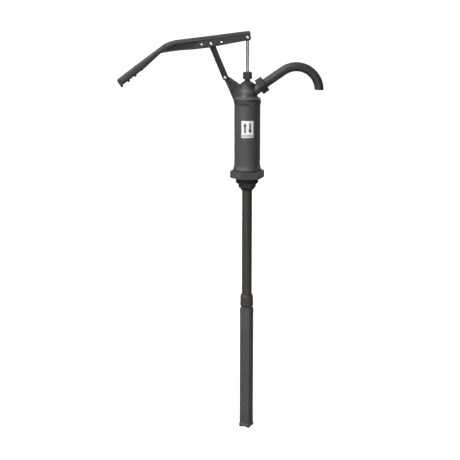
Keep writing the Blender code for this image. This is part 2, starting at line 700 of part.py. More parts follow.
def build_suction_tube():
    return turned("suction_tube", [
        (INNER_TUBE_R, INNER_TUBE_TOP), (INNER_TUBE_R, INNER_TUBE_BOTTOM),
        (INNER_TUBE_BORE, INNER_TUBE_BOTTOM), (INNER_TUBE_BORE, INNER_TUBE_TOP)], MEDIUM, PART)


def build_clamp_nut():
    return turned("clamp_nut", [
        (15.4, CLAMP_TOP), (17.2, -325.0), (17.2, -341.0), (17.9, -348.0), (16.2, CLAMP_BOTTOM),
        (CLAMP_THREAD_R, CLAMP_BOTTOM), (CLAMP_THREAD_R, -321.6), (SOCKET_R + 0.1, -321.6),
        (SOCKET_R + 0.1, CLAMP_TOP)], MEDIUM, PART)


def build_extension_tube():
    """The outer tube: a rounded square with a round bore and a threaded spigot on top."""
    outline = rounded_square(OUTER_TUBE_CORNER, OUTER_TUBE_FILLET, OUTER_TUBE_TURN)
    tube = extruded("extension_tube", outline, OUTER_TUBE_BOTTOM, OUTER_TUBE_TOP, PART)
    rounding = turned("tube_rounding", [
        (0.0, -352.0), (13.0, -352.0), (20.0, -359.4), (20.0, -690.0), (0.0, -690.0)],
        MEDIUM, HELPERS)
    spigot = turned("tube_spigot", [
        (0.0, SPIGOT_TOP), (SPIGOT_R, SPIGOT_TOP), (SPIGOT_R, -349.0), (SPIGOT_NECK_R, -350.0),
        (SPIGOT_NECK_R, -365.0), (0.0, -365.0)], MEDIUM, HELPERS)
    bore = cylinder("tube_bore", SOCKET_R, -700.0, -300.0, MEDIUM, HELPERS)
    boolean(tube, "INTERSECT", rounding)
    boolean(tube, "UNION", spigot)
    boolean(tube, "DIFFERENCE", bore)
    return tube


def build_foot_strainer():
    """The cap on the tube's end, with notches that let liquid in when it stands on the bottom."""
    outline = rounded_square(FOOT_CORNER, OUTER_TUBE_FILLET, OUTER_TUBE_TURN)
    foot = extruded("foot_strainer", outline, FOOT_BOTTOM, OUTER_TUBE_BOTTOM - GAP, PART)
    spigot = cylinder("foot_spigot", INNER_TUBE_R, -690.0, -677.0, MEDIUM, HELPERS)
    bore = cylinder("foot_bore", 10.0, -705.0, -670.0, MEDIUM, HELPERS)
    boolean(foot, "UNION", spigot)
    boolean(foot, "DIFFERENCE", bore)
    for notch in range(2):
        turn = Matrix.Rotation(math.radians(OUTER_TUBE_TURN - 45 + 90 * notch), 4, "Z")
        boolean(foot, "DIFFERENCE", box(
            f"foot_notch_{notch}", (-25.0, -FOOT_NOTCH_WIDTH / 2, FOOT_BOTTOM - 3.0),
            (25.0, FOOT_NOTCH_WIDTH / 2, FOOT_BOTTOM + FOOT_NOTCH_HEIGHT), HELPERS, turn))
    return foot


# ---------------------------------------------------------------- assembly

def joint_empty(name, x, z):
    empty = bpy.data.objects.new(name, None)
    empty.location = (x * MM, 0, z * MM)
    PART.objects.link(empty)
    return empty


def attach(parent, *children):
    """Parent objects to a joint's empty without moving them."""
    bpy.context.view_layer.update()
    for child in children:
        child.parent = parent
        child.matrix_parent_inverse = parent.matrix_world.inverted()


def finish(pieces, mat):
    for piece in pieces:
        piece.data.materials.clear()
        piece.data.materials.append(mat)
        piece.data.shade_smooth()
        piece.data.set_sharp_from_angle(angle=math.radians(30))


for existing in list(bpy.data.objects):
    bpy.data.objects.remove(existing)
PART = new_collection("lever_drum_pump")
HELPERS = new_collection("helpers")

charcoal = material("charcoal_plastic", (0.035, 0.033, 0.032), 0.42)
grey_blue = material("tube_plastic", (0.045, 0.046, 0.050), 0.45)
lever_black = material("lever_plastic", (0.026, 0.024, 0.023), 0.5)
steel = material("rod_steel", (0.60, 0.56, 0.50), 0.25, 1.0)
rivet_steel = material("rivet_steel", (0.75, 0.72, 0.68), 0.3, 1.0)
rubber = material("seal_rubber", (0.012, 0.012, 0.012), 0.8)
nylon = material("valve_nylon", (0.55, 0.53, 0.47), 0.5)
paper = material("label_film", (0.85, 0.85, 0.84), 0.35)

adapter = build_bung_adapter()
foot_disc, foot_cage = build_foot_valve()
barrel = build_cylinder()
label = build_label()
head = build_pump_head()
packing_nut = build_packing_nut()
spout, spout_seal = build_spout()
spout_nut = build_spout_nut()
lever = build_lever()
link_front = build_link("link_front", -1)
link_rear = build_link("link_rear", 1)
rod_pin = build_pin("rod_pin", ROD_PIVOT, LEVER_WEB_Y + GAP)
link_pin = build_pin("lever_link_pin", LINK_PIVOT, LEVER_WEB_Y + GAP)
bracket_pin = build_pin("bracket_pin", BRACKET_PIVOT, LINK_OUTER_Y + GAP)
spacer_front = build_rod_spacer("rod_spacer_front", -1)
spacer_rear = build_rod_spacer("rod_spacer_rear", 1)
rod = build_piston_rod()
piston = build_piston()
cup_upper, cup_lower, valve_disc, stop_washer, piston_nut = build_piston_fittings()
seals = build_seals()
suction_tube = build_suction_tube()
clamp_nut = build_clamp_nut()
outer_tube = build_extension_tube()
foot = build_foot_strainer()

finish([adapter, barrel, head, packing_nut, spout, spout_nut, suction_tube], charcoal)
finish([outer_tube, clamp_nut, foot], grey_blue)
finish([lever, link_front, link_rear, spacer_front, spacer_rear], lever_black)
finish([rod, stop_washer, piston_nut], steel)
finish([rod_pin, link_pin, bracket_pin], rivet_steel)
finish([piston, foot_disc, foot_cage, valve_disc, seals["clamp_ring"]], nylon)
finish([cup_upper, cup_lower, spout_seal, seals["head_seal"], seals["cylinder_seal"],
        seals["tube_socket_seal"], seals["gland_packing"]], rubber)
finish([label], paper)

rod_axis = joint_empty("rod_axis", *ROD_PIVOT)
lever_axis = joint_empty("lever_axis", *ROD_PIVOT)
link_axis = joint_empty("link_axis", *BRACKET_PIVOT)
outlet_axis = joint_empty("outlet_axis", 0.0, OUTLET_Z)
telescope_axis = joint_empty("telescope_axis", 0.0, OUTER_TUBE_TOP)
foot_valve_axis = joint_empty("foot_valve_axis", 0.0, VALVE_SEAT_Z)
attach(rod_axis, lever_axis, rod, piston, cup_upper, cup_lower, valve_disc, stop_washer,
       piston_nut)
attach(lever_axis, lever, rod_pin, link_pin, spacer_front, spacer_rear)
attach(link_axis, link_front, link_rear)
attach(outlet_axis, spout, spout_nut)
attach(telescope_axis, outer_tube, foot, clamp_nut, seals["clamp_ring"])
attach(foot_valve_axis, foot_disc)
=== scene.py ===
import json
import math

import bmesh
import bpy
from mathutils import Matrix, Vector


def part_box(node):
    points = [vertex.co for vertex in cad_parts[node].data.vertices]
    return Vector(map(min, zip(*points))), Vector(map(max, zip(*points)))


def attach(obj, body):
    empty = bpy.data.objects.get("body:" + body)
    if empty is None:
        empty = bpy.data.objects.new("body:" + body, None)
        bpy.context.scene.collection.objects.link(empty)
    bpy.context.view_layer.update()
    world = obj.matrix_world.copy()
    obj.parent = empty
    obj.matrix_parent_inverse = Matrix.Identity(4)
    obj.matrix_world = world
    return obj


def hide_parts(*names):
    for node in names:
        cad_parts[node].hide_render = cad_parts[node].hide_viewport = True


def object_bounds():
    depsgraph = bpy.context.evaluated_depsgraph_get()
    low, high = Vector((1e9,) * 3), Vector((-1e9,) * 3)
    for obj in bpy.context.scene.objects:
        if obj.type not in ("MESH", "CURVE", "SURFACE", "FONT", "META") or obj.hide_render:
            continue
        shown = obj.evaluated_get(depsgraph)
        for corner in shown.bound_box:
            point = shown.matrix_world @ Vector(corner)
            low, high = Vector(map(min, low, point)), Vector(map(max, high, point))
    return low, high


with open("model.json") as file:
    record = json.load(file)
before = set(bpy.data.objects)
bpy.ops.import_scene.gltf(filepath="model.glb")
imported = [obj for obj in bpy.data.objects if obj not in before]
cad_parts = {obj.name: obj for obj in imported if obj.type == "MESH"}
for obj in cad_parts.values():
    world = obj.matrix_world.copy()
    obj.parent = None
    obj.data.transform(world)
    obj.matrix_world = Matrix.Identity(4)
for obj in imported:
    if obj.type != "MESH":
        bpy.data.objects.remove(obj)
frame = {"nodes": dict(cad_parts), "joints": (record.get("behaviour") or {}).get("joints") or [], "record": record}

MM = 0.001
CAD_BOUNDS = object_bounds()
JOINTS = {joint["name"]: joint for joint in frame["joints"]}

# Side views are drawn in (X, Z): local Z becomes world -Y
SIDE_VIEW = Matrix.Rotation(math.radians(90), 4, "X")
TURNS_WIDE = 128               # steps round a turned piece, by its size
TURNS_FINE = 96
TURNS_SMALL = 48
FILLET_STEPS = 4
SHARP_ANGLE = math.radians(32)
WELD, FINE_WELD = 0.00001, 0.000005     # metres between points that count as one
PIN_HOLE_R = 3.3
ROD_RADIUS = 4.3


def node_box(node):
    """Low and high corner of a CAD node, in millimetres."""
    low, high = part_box(node)
    return low / MM, high / MM


def joint_xz(name):
    """A hinge's place in the side view, in millimetres."""
    place = JOINTS[name]["pos_m"]
    return (place[0] / MM, place[2] / MM)


def keep(name, data):
    """Link a mesh, a curve, a light or a camera to the scene as an object."""
    obj = bpy.data.objects.new(name, data)
    bpy.context.scene.collection.objects.link(obj)
    return obj


# ---------------------------------------------------------------- camera, light and stage

def make_camera():
    """The front view, from 3 m, looking down 13 degrees."""
    camera = keep("camera", bpy.data.cameras.new("camera"))
    camera.data.lens = 88.3
    camera.data.sensor_width = 36.0
    camera.location = (-0.0451, -2.9230, 0.5325)
    camera.rotation_euler = (math.radians(77), 0, 0)
    bpy.context.scene.camera = camera


def make_sun(name, azimuth, elevation, strength, spread, color):
    """A soft distant light, placed by its azimuth (0 in front, positive towards +X) and its
    elevation; spread is its apparent width. All are in degrees."""
    turn, rise = math.radians(azimuth), math.radians(elevation)
    direction = (-math.sin(turn) * math.cos(rise), math.cos(turn) * math.cos(rise),
                 -math.sin(rise))
    light = bpy.data.lights.new(name, "SUN")
    light.energy = strength
    light.angle = math.radians(spread)
    light.color = color
    keep(name, light).rotation_euler = Vector(direction).to_track_quat("-Z", "Y").to_euler()


def make_fill(name, place, size, power, color):
    """A soft square light near the suction tube's lower end, aimed at that tube."""
    light = bpy.data.lights.new(name, "AREA")
    light.energy = power
    light.size = size
    light.color = color
    fill = keep(name, light)
    fill.location = place
    aim = Vector((0.0, 0.0, -0.5)) - Vector(place)
    fill.rotation_euler = aim.to_track_quat("-Z", "Y").to_euler()
    fill.visible_camera = False


def make_world(strength, color):
    """An even pale surround: full white where it is seen, gentler as a light."""
    world = bpy.data.worlds.new("studio")
    bpy.context.scene.world = world
    world.use_nodes = True
    tree = world.node_tree
    background = tree.nodes["Background"]
    background.inputs["Color"].default_value = (*color, 1.0)
    seen = tree.nodes.new("ShaderNodeLightPath").outputs["Is Camera Ray"]
    level = tree.nodes.new("ShaderNodeMapRange")
    level.inputs["To Min"].default_value = strength
    level.inputs["To Max"].default_value = 1.1
    tree.links.new(seen, level.inputs["Value"])
    tree.links.new(level.outputs["Result"], background.inputs["Strength"])


def make_floor():
    """A wide pale floor, below the suction tube at its full reach."""
    reach = JOINTS["tube_telescope"]["range_m"][1]
    height = CAD_BOUNDS[0].z - reach - 0.15
    bm = bmesh.new()
    bmesh.ops.create_circle(bm, cap_ends=True, segments=64, radius=90.0,
                            matrix=Matrix.Translation((0, 0, height)))
    floor = keep_shape("floor", bm)
    paint = bpy.data.materials.new("floor_paint")
    paint.use_nodes = True
    shader = paint.node_tree.nodes["Principled BSDF"]
    shader.inputs["Base Color"].default_value = (0.84, 0.84, 0.84, 1.0)
    shader.inputs["Roughness"].default_value = 0.9
    shader.inputs["Specular IOR Level"].default_value = 0.1
    floor.data.materials.append(paint)
    floor.visible_diffuse = floor.visible_glossy = False


# ---------------------------------------------------------------- materials

class Nodes:
    """Short forms for wiring a material's nodes."""

    def __init__(self, name):
        self.material = bpy.data.materials.new(name)
        self.material.use_nodes = True
        self.tree = self.material.node_tree
        self.shader = self.tree.nodes["Principled BSDF"]
        self.coordinates = self.tree.nodes.new("ShaderNodeTexCoord").outputs["Object"]

    def node(self, kind, **values):
        made = self.tree.nodes.new(kind)
        for key, value in values.items():
            setattr(made, key, value)
        return made

    def link(self, source, target):
        self.tree.links.new(source, target)

    def stretched(self, scale):
        mapping = self.node("ShaderNodeMapping")
        mapping.inputs["Scale"].default_value = scale
        self.link(self.coordinates, mapping.inputs["Vector"])
        return mapping.outputs["Vector"]

    def noise(self, scale, detail=3.0, stretch=(1, 1, 1), roughness=0.5):
        made = self.node("ShaderNodeTexNoise")
        made.inputs["Scale"].default_value = scale
        made.inputs["Detail"].default_value = detail
        made.inputs["Roughness"].default_value = roughness
        self.link(self.stretched(stretch), made.inputs["Vector"])
        return made.outputs["Fac"]

    def ramp(self, source, low, high, low_to=0.0, high_to=1.0):
        made = self.node("ShaderNodeMapRange")
        for key, value in (("From Min", low), ("From Max", high), ("To Min", low_to),
                           ("To Max", high_to)):
            made.inputs[key].default_value = value
        self.link(source, made.inputs["Value"])
        return made.outputs["Result"]

    def mix(self, factor, first, second):
        """Blend two colours; each is a colour or another node's output."""
        made = self.node("ShaderNodeMix", data_type="RGBA")
        self.link(factor, made.inputs["Factor"])
        for key, value in (("A", first), ("B", second)):
            target = next(i for i in made.inputs if i.name == key and i.type == "RGBA")
            if isinstance(value, bpy.types.NodeSocket):
                self.link(value, target)
            else:
                target.default_value = (*value, 1.0)
        return next(o for o in made.outputs if o.type == "RGBA")

    def shaded_by_height(self, color, stops):
        """Multiply a colour by painted shades and highlights set at heights in mm, at most 2, and smooth between.
        """
        low, high = stops[0][0], stops[-1][0]
        split = self.node("ShaderNodeSeparateXYZ")
        self.link(self.coordinates, split.inputs["Vector"])
        shades = self.node("ShaderNodeValToRGB")
        shades.color_ramp.interpolation = "EASE"
        elements = shades.color_ramp.elements
        for height, _ in stops[1:-1]:
            elements.new((height - low) / (high - low))
        for element, (_, shade) in zip(elements, stops):
            element.color = (*[shade / 2] * 3, 1.0)
        self.link(self.ramp(split.outputs["Z"], low * MM, high * MM), shades.inputs["Fac"])
        made = self.node("ShaderNodeVectorMath", operation="MULTIPLY")
        doubled = self.node("ShaderNodeVectorMath", operation="SCALE")
        doubled.inputs["Scale"].default_value = 2.0
        self.link(shades.outputs["Color"], doubled.inputs[0])
        self.link(color, made.inputs[0])
        self.link(doubled.outputs["Vector"], made.inputs[1])
        return made.outputs["Vector"]

    def bump(self, *layers):
        """Stack bumps, each (height, distance in mm, strength)."""
        normal = None
        for height, distance, strength in layers:
            made = self.node("ShaderNodeBump")
            made.inputs["Strength"].default_value = strength
            made.inputs["Distance"].default_value = distance * MM
            self.link(height, made.inputs["Height"])
            if normal is not None:
                self.link(normal, made.inputs["Normal"])
            normal = made.outputs["Normal"]
        self.link(normal, self.shader.inputs["Normal"])

    def edges(self):
        """1 on worn convex edges, 0 elsewhere."""
        pointiness = self.node("ShaderNodeNewGeometry").outputs["Pointiness"]
        return self.ramp(pointiness, 0.53, 0.62)


def shade_of(color, factor):
    return tuple(channel * factor for channel in color)


def moulded_plastic(name, color, roughness, specular, flow=(1, 1, 0.15), painted_light_by_height=()):
    """Satin moulded polymer: fine texture, faint flow streaks, dust and paler worn edges. The last
    argument lists (height in mm, shade), lowest first: painted shade in hollows, painted highlights on crests."""
    n = Nodes(name)
    cloud = n.ramp(n.noise(14.0, 4.0), 0.3, 0.7)
    streak = n.ramp(n.noise(90.0, 2.0, flow), 0.35, 0.65)
    base = n.mix(cloud, shade_of(color, 0.90), shade_of(color, 1.10))
    base = n.mix(n.ramp(streak, 0.0, 1.0, 0.0, 0.25), base, shade_of(color, 1.25))
    scuffs = n.ramp(n.noise(320.0, 6.0, (1, 1, 0.4), 0.7), 0.62, 0.74)
    base = n.mix(n.ramp(scuffs, 0.0, 1.0, 0.0, 0.22), base, shade_of(color, 1.9))
    base = n.mix(n.ramp(n.edges(), 0.0, 1.0, 0.0, 0.45), base, shade_of(color, 1.8))
    if painted_light_by_height:
        base = n.shaded_by_height(base, painted_light_by_height)
    n.link(base, n.shader.inputs["Base Color"])
    n.link(n.ramp(n.noise(45.0, 4.0), 0.3, 0.7, roughness - 0.05, roughness + 0.07),
           n.shader.inputs["Roughness"])
    n.shader.inputs["Specular IOR Level"].default_value = specular
    n.bump((n.noise(2400.0, 2.0), 0.02, 0.35), (n.noise(420.0, 3.0), 0.03, 0.18))
    return n.material


def ground_steel(name, color, roughness, stretch):
    """Bright steel with grinding lines across stretch's short directions."""
    n = Nodes(name)
    lines = n.noise(700.0, 3.0, stretch, 0.6)
    base = n.mix(n.ramp(lines, 0.3, 0.7), shade_of(color, 0.82), shade_of(color, 1.05))
    film = n.ramp(n.noise(60.0, 3.0), 0.45, 0.75, 0.0, 0.3)
    base = n.mix(film, base, shade_of((0.62, 0.55, 0.44), 0.8))
    n.link(base, n.shader.inputs["Base Color"])
    n.shader.inputs["Metallic"].default_value = 1.0
    n.link(n.ramp(lines, 0.2, 0.8, roughness - 0.08, roughness + 0.10),
           n.shader.inputs["Roughness"])
    n.bump((lines, 0.01, 0.25))
    return n.material


def soft_rubber(name, color):
    n = Nodes(name)
    bloom = n.ramp(n.noise(110.0, 5.0), 0.45, 0.7, 0.0, 0.5)
    n.link(n.mix(bloom, color, shade_of(color, 2.2)), n.shader.inputs["Base Color"])
    n.shader.inputs["Roughness"].default_value = 0.75
    n.bump((n.noise(1500.0, 2.0), 0.02, 0.4))
    return n.material


def natural_nylon(name, color):
    n = Nodes(name)
    cloud = n.ramp(n.noise(40.0, 3.0), 0.3, 0.7)
    n.link(n.mix(cloud, shade_of(color, 0.92), color), n.shader.inputs["Base Color"])
    n.shader.inputs["Roughness"].default_value = 0.42
    n.shader.inputs["Subsurface Weight"].default_value = 0.15
    n.shader.inputs["Subsurface Radius"].default_value = (0.002, 0.002, 0.0015)
    n.bump((n.noise(900.0, 2.0), 0.02, 0.3))
    return n.material


def printed_film(name, color):
    """Semi-gloss film, a little dusty towards one side."""
    n = Nodes(name)
    dust = n.ramp(n.noise(130.0, 5.0), 0.5, 0.75, 0.0, 0.5)
    n.link(n.mix(dust, color, shade_of(color, 0.86)), n.shader.inputs["Base Color"])
    n.link(n.ramp(n.noise(70.0, 3.0), 0.3, 0.7, 0.32, 0.46), n.shader.inputs["Roughness"])
    n.bump((n.noise(600.0, 2.0), 0.01, 0.3))
    return n.material


# ---------------------------------------------------------------- shape tools

def keep_shape(name, bm, place=Matrix()):
    """Make an object from edited geometry, which is used up, and carry it to its place."""
    bmesh.ops.recalc_face_normals(bm, faces=bm.faces)
    mesh = bpy.data.meshes.new(name)
    bm.to_mesh(mesh)
    bm.free()
    mesh.transform(place)
    return keep(name, mesh)


def settled(obj):
    """Turn an object's modifiers into plain mesh."""
    depsgraph = bpy.context.evaluated_depsgraph_get()
    mesh = bpy.data.meshes.new_from_object(obj.evaluated_get(depsgraph))
    obj.modifiers.clear()
    obj.data = mesh
    return obj


def boolean(obj, operation, *others, solver="EXACT"):
    """Combine obj with other solids, which are used up."""
    for other in others:
        modifier = obj.modifiers.new(operation.lower(), "BOOLEAN")
        modifier.operation = operation
        modifier.solver = solver
        modifier.object = other
        settled(obj)
        bpy.data.objects.remove(other)
        bm = bmesh.new()
        bm.from_mesh(obj.data)
        bmesh.ops.remove_doubles(bm, verts=bm.verts, dist=WELD)
        bmesh.ops.dissolve_degenerate(bm, edges=bm.edges, dist=FINE_WELD)
        bm.to_mesh(obj.data)
        bm.free()


def filleted(points, closed=True):
    """Round an outline's corners; a point is (x, y) or (x, y, fillet length)."""
    corners = [Vector(point[:2]) for point in points]
    lengths = [point[2] if len(point) > 2 else 0.0 for point in points]
    rounded = []
    for index, (corner, length) in enumerate(zip(corners, lengths)):
        if length == 0.0 or (not closed and index in (0, len(corners) - 1)):
            rounded.append(tuple(corner))
            continue
        before = corners[index - 1] - corner
        after = corners[(index + 1) % len(corners)] - corner
        start = corner + before.normalized() * min(length, before.length * 0.48)
        end = corner + after.normalized() * min(length, after.length * 0.48)
        for step in range(FILLET_STEPS + 1):
            t = step / FILLET_STEPS
            point = start * (1 - t) ** 2 + corner * 2 * t * (1 - t) + end * t ** 2
            rounded.append(tuple(point))
    return rounded


def turned(name, outline, turns=TURNS_FINE, place=Matrix()):
    """Revolve an outline of (radius, height) about Z. A ring's outline runs down its outer
    side first; a solid's starts and ends on the axis."""
    ring = outline[0][0] > 0
    points = filleted(outline, closed=ring)
    bm = bmesh.new()
    verts = [bm.verts.new((radius * MM, 0.0, height * MM)) for radius, height in points]
    for first, second in zip(verts, verts[1:]):
        bm.edges.new((first, second))
    if ring:
        bm.edges.new((verts[-1], verts[0]))
    obj = keep_shape(name, bm)
    screw = obj.modifiers.new("revolve", "SCREW")
    screw.axis = "Z"
    screw.angle = math.tau
    screw.steps = screw.render_steps = turns
    screw.use_merge_vertices = True
    screw.merge_threshold = 0.000001
    settled(obj)
    obj.data.transform(place)
    return obj


def ring(name, inner, outer, low, high, edge=0.3, turns=TURNS_FINE, place=Matrix()):
    """A round ring or tube with eased edges."""
    return turned(name, [(outer, high, edge), (outer, low, edge), (inner, low, edge),
                         (inner, high, edge)], turns, place)


def bar(name, radius, low, high, sides=TURNS_SMALL, place=Matrix()):
    """A solid round bar along local Z."""
    bm = bmesh.new()
    centre = Matrix.Translation((0, 0, (low + high) / 2 * MM))
    bmesh.ops.create_cone(bm, cap_ends=True, segments=sides, radius1=radius * MM,
                          radius2=radius * MM, depth=(high - low) * MM, matrix=centre)
    return keep_shape(name, bm, place)


def block(name, low, high):
    """A box between two corners in millimetres."""
    bm = bmesh.new()
    low, high = Vector(low) * MM, Vector(high) * MM
    size = Matrix.Diagonal((*(high - low), 1.0))
    bmesh.ops.create_cube(bm, size=1.0, matrix=Matrix.Translation((low + high) / 2) @ size)
    return keep_shape(name, bm)


def mesh_from_curve(name, curve, place=Matrix()):
    """Turn a curve into a closed mesh, and carry it to its place."""
    source = keep(name + "_curve", curve)
    depsgraph = bpy.context.evaluated_depsgraph_get()
    mesh = bpy.data.meshes.new_from_object(source.evaluated_get(depsgraph))
    bpy.data.objects.remove(source)
    bm = bmesh.new()
    bm.from_mesh(mesh)
    bpy.data.meshes.remove(mesh)
    bmesh.ops.remove_doubles(bm, verts=bm.verts, dist=FINE_WELD)
    return keep_shape(name, bm, place)


def poly_curve(name, dimensions, bevel, rounds, places):
    """A curve through places in metres, whose round bevel has a radius in millimetres."""
    curve = bpy.data.curves.new(name, "CURVE")
    curve.dimensions = dimensions
    curve.bevel_depth = bevel * MM
    curve.bevel_resolution = rounds
    spline = curve.splines.new("POLY")
    spline.points.add(len(places) - 1)
    for point, place in zip(spline.points, places):
        point.co = (*place, 1.0)
    return curve


def plate(name, outline, low, high, edge, place=Matrix(), rounds=2):
    """Extrude an (x, y) outline along local Z and round its edges."""
    places = [(x * MM, y * MM, 0.0) for x, y in filleted(outline)]
    curve = poly_curve(name, "2D", edge, rounds, places)
    curve.splines[0].use_cyclic_u = True
    curve.fill_mode = "BOTH"
    curve.extrude = ((high - low) / 2 - edge) * MM
    curve.offset = -edge * MM
    middle = Matrix.Translation((0, 0, (low + high) / 2 * MM))
    return mesh_from_curve(name, curve, place @ middle)


def side_plate(name, outline, half_width, edge, rounds=2):
    """Extrude an (X, Z) outline symmetrically about the plane Y = 0."""
    return plate(name, outline, -half_width, half_width, edge, SIDE_VIEW, rounds)


def side_place(centre):
    """Carries local Z onto -Y through the (X, Z) point centre."""
    return Matrix.Translation((centre[0] * MM, 0, centre[1] * MM)) @ SIDE_VIEW


def cross_bar(name, centre, radius, half_length):
    return bar(name, radius, -half_length, half_length, TURNS_SMALL, side_place(centre))


def bent_bar(name, points, radius, rounds):
    """A round bar along a path of points in millimetres."""
    curve = poly_curve(name, "3D", radius, rounds, [point * MM for point in points])
    curve.use_fill_caps = True
    return mesh_from_curve(name, curve)


def arc(centre, radius, start, end, steps):
    """Points on a circle from one angle to another, in degrees from +X."""
    angles = [math.radians(start + (end - start) * step / steps) for step in range(steps + 1)]
    return [(centre[0] + radius * math.cos(angle), centre[1] + radius * math.sin(angle))
            for angle in angles]


def helix(name, root, crest, pitch, low, high):
    """A screw thread's ridge that fades into its core at both ends."""
    bm = bmesh.new()
    count = int((high - low) / pitch * TURNS_FINE)
    fade = TURNS_FINE // 3
    sections = []
    for step in range(count + 1):
        angle = math.tau * step / TURNS_FINE
        height = low + pitch * step / TURNS_FINE
        grow = min(1.0, step / fade, (count - step) / fade)
        tip = root + (crest - root) * grow - 0.35 * (1 - grow)
        section = ((root - 0.4, -0.46), (tip, -0.10), (tip, 0.10), (root - 0.4, 0.46))
        sections.append([bm.verts.new((radius * math.cos(angle) * MM,
                                       radius * math.sin(angle) * MM,
                                       (height + offset * pitch) * MM))
                         for radius, offset in section])
    for below, above in zip(sections, sections[1:]):
        for index in range(4):
            other = (index + 1) % 4
            bm.faces.new((below[index], below[other], above[other], above[index]))
    bm.faces.new(sections[0][::-1])
    bm.faces.new(sections[-1])
    return keep_shape(name, bm)


def dress(obj, look):
    """Give a piece one look all over, and smooth shading between its sharp edges."""
    obj.data.materials.clear()
    obj.data.materials.append(MATERIALS[look])
    for polygon in obj.data.polygons:
        polygon.material_index = 0
    obj.data.shade_smooth()
    obj.data.set_sharp_from_angle(angle=SHARP_ANGLE)


def publish(obj, body, slot, *nodes, look=None):
    """Finish a piece: its look (or its slot's own), its body and the CAD nodes it replaces."""
    dress(obj, look or slot)
    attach(obj, body)
    if nodes:
        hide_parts(*nodes)


def repaint(obj, look, chosen):
    """Give another look to the polygons whose centre (x, y, z), in mm, is chosen."""
    index = len(obj.data.materials)
    obj.data.materials.append(MATERIALS[look])
    for polygon in obj.data.polygons:
        if chosen(*(polygon.center / MM)):
            polygon.material_index = index


# ---------------------------------------------------------------- bung adapter and suction end

# Carries a plate's outline into the (Y, Z) plane, so that its thickness runs along X
ALONG_X = Matrix(((0, 0, 1, 0), (1, 0, 0, 0), (0, 1, 0, 0), (0, 0, 0, 1)))
TUBE_CORNER, FOOT_CORNER, TUBE_FILLET = 19.2, 20.7, 4.0
TUBE_BORE = 11.3
TUBE_TURN = 20.0               # the square tube's front corner, degrees towards the spout
HEX_TURN = -18.0               # the bung hexagon's front corner, degrees towards the spout
THREAD_ROOT = 28.3
THREAD_PITCH = 2.309


def build_bung_adapter():
    """The threaded spigot, the hexagon above it and the socket for the suction tube."""
    low, high = node_box("bung_adapter")
    hex_corner, hex_top, thread_top = 46.3, 19.0, -0.5
    core = turned("bung_adapter_body", [
        (29.2, high.z, 0.6), (29.2, 10.0), (THREAD_ROOT, 10.0), (THREAD_ROOT, -15.0, 0.8),
        (23.4, -15.6, 0.5), (23.0, -17.0, 0.5), (23.0, -25.2, 1.2), (19.5, -27.6, 1.0),
        (15.6, low.z, 0.5), (13.6, low.z, 0.3), (13.6, -2.0), (9.0, -2.0, 0.3), (9.0, 8.0, 0.3),
        (24.0, 8.0, 0.5), (24.0, high.z, 0.4)])
    outline = [(*point, 1.4) for point in arc((0, 0), hex_corner, -90 + HEX_TURN,
                                              210 + HEX_TURN, 5)]
    hexagon = plate("bung_hexagon", outline, 0.0, hex_top, 0.6)
    rounding = turned("bung_rounding", [
        (0.0, 22.0), (35.0, 22.0), (46.6, 17.2, 1.2), (46.6, 1.2, 0.8), (43.4, -0.4), (40.0, -2.0),
        (0.0, -2.0)])
    boolean(hexagon, "INTERSECT", rounding)
    boolean(hexagon, "DIFFERENCE", bar("bung_core", 28.2, -5.0, 25.0, TURNS_FINE),
            bar("seal_recess", 30.8, -5.0, 1.2, TURNS_FINE))
    thread = helix("bung_thread", THREAD_ROOT, 29.8, THREAD_PITCH, -13.6, -0.9)
    boolean(core, "UNION", thread, hexagon)
    publish(core, "pump_body", "charcoal_body", "bung_adapter", look="bung_body")
    # Painted shade: everything below the hexagon takes a darker look
    repaint(core, "bung_shade", lambda x, y, z: z < thread_top)


def build_suction_tube():
    low, high = node_box("suction_tube")
    tube = ring("suction_pipe", TUBE_BORE, high.x, low.z, high.z, 0.5)
    publish(tube, "pump_body", "charcoal_body", "suction_tube", look="pipe_brown")


def build_clamp_nut():
    """A round hand nut with shallow grip flutes between its chamfers."""
    low, high = node_box("clamp_nut")
    nut = turned("clamp_hand_nut", [
        (15.2, high.z, 0.5), (16.9, -324.2, 1.0), (17.2, -326.5, 0.5), (17.2, -341.0, 1.0),
        (17.8, -347.8, 0.8), (16.2, low.z, 0.4), (15.5, low.z, 0.2), (15.5, -321.6, 0.3),
        (13.7, -321.6, 0.3), (13.7, high.z, 0.3)])
    flutes, flute_circle, flute_radius = 30, 17.95, 1.05
    for index in range(flutes):
        angle = math.tau * index / flutes
        place = Matrix.Translation((flute_circle * math.cos(angle) * MM,
                                    flute_circle * math.sin(angle) * MM, 0))
        boolean(nut, "DIFFERENCE", bar("flute", flute_radius, -342.5, -327.5, 16, place))
    publish(nut, "clamp", "tube_grey", "clamp_nut", look="clamp_dark")


def rounded_square(corner, fillet, turn):
    """A square with round corners; turn is measured from the front towards +X."""
    points = []
    for index in range(4):
        angle = -90 + turn + 90 * index
        direction = math.radians(angle)
        centre = ((corner - fillet) * math.cos(direction), (corner - fillet) * math.sin(direction))
        points += arc(centre, fillet, angle - 45, angle + 45, 10)
    return points


def build_extension_tube():
    low, high = node_box("extension_tube")
    outline = rounded_square(TUBE_CORNER, TUBE_FILLET, TUBE_TURN)
    tube = plate("extension_pipe", outline, low.z, -351.0, 0.3)
    shoulder = turned("extension_shoulder", [
        (0.0, -353.4), (14.2, -353.4, 1.0), (18.9, -358.4, 2.0), (20.0, -362.0, 1.0),
        (20.0, -700.0), (0.0, -700.0)])
    boolean(tube, "INTERSECT", shoulder)
    spigot = turned("extension_spigot", [
        (0.0, high.z), (15.2, high.z, 0.5), (15.2, -349.0, 0.3), (14.4, -350.0, 0.3),
        (14.4, -360.0), (0.0, -360.0)])
    boolean(tube, "UNION", spigot)
    boolean(tube, "DIFFERENCE", bar("extension_bore", 13.6, -700.0, -300.0, TURNS_FINE))
    publish(tube, "extension", "tube_grey", "extension_tube")


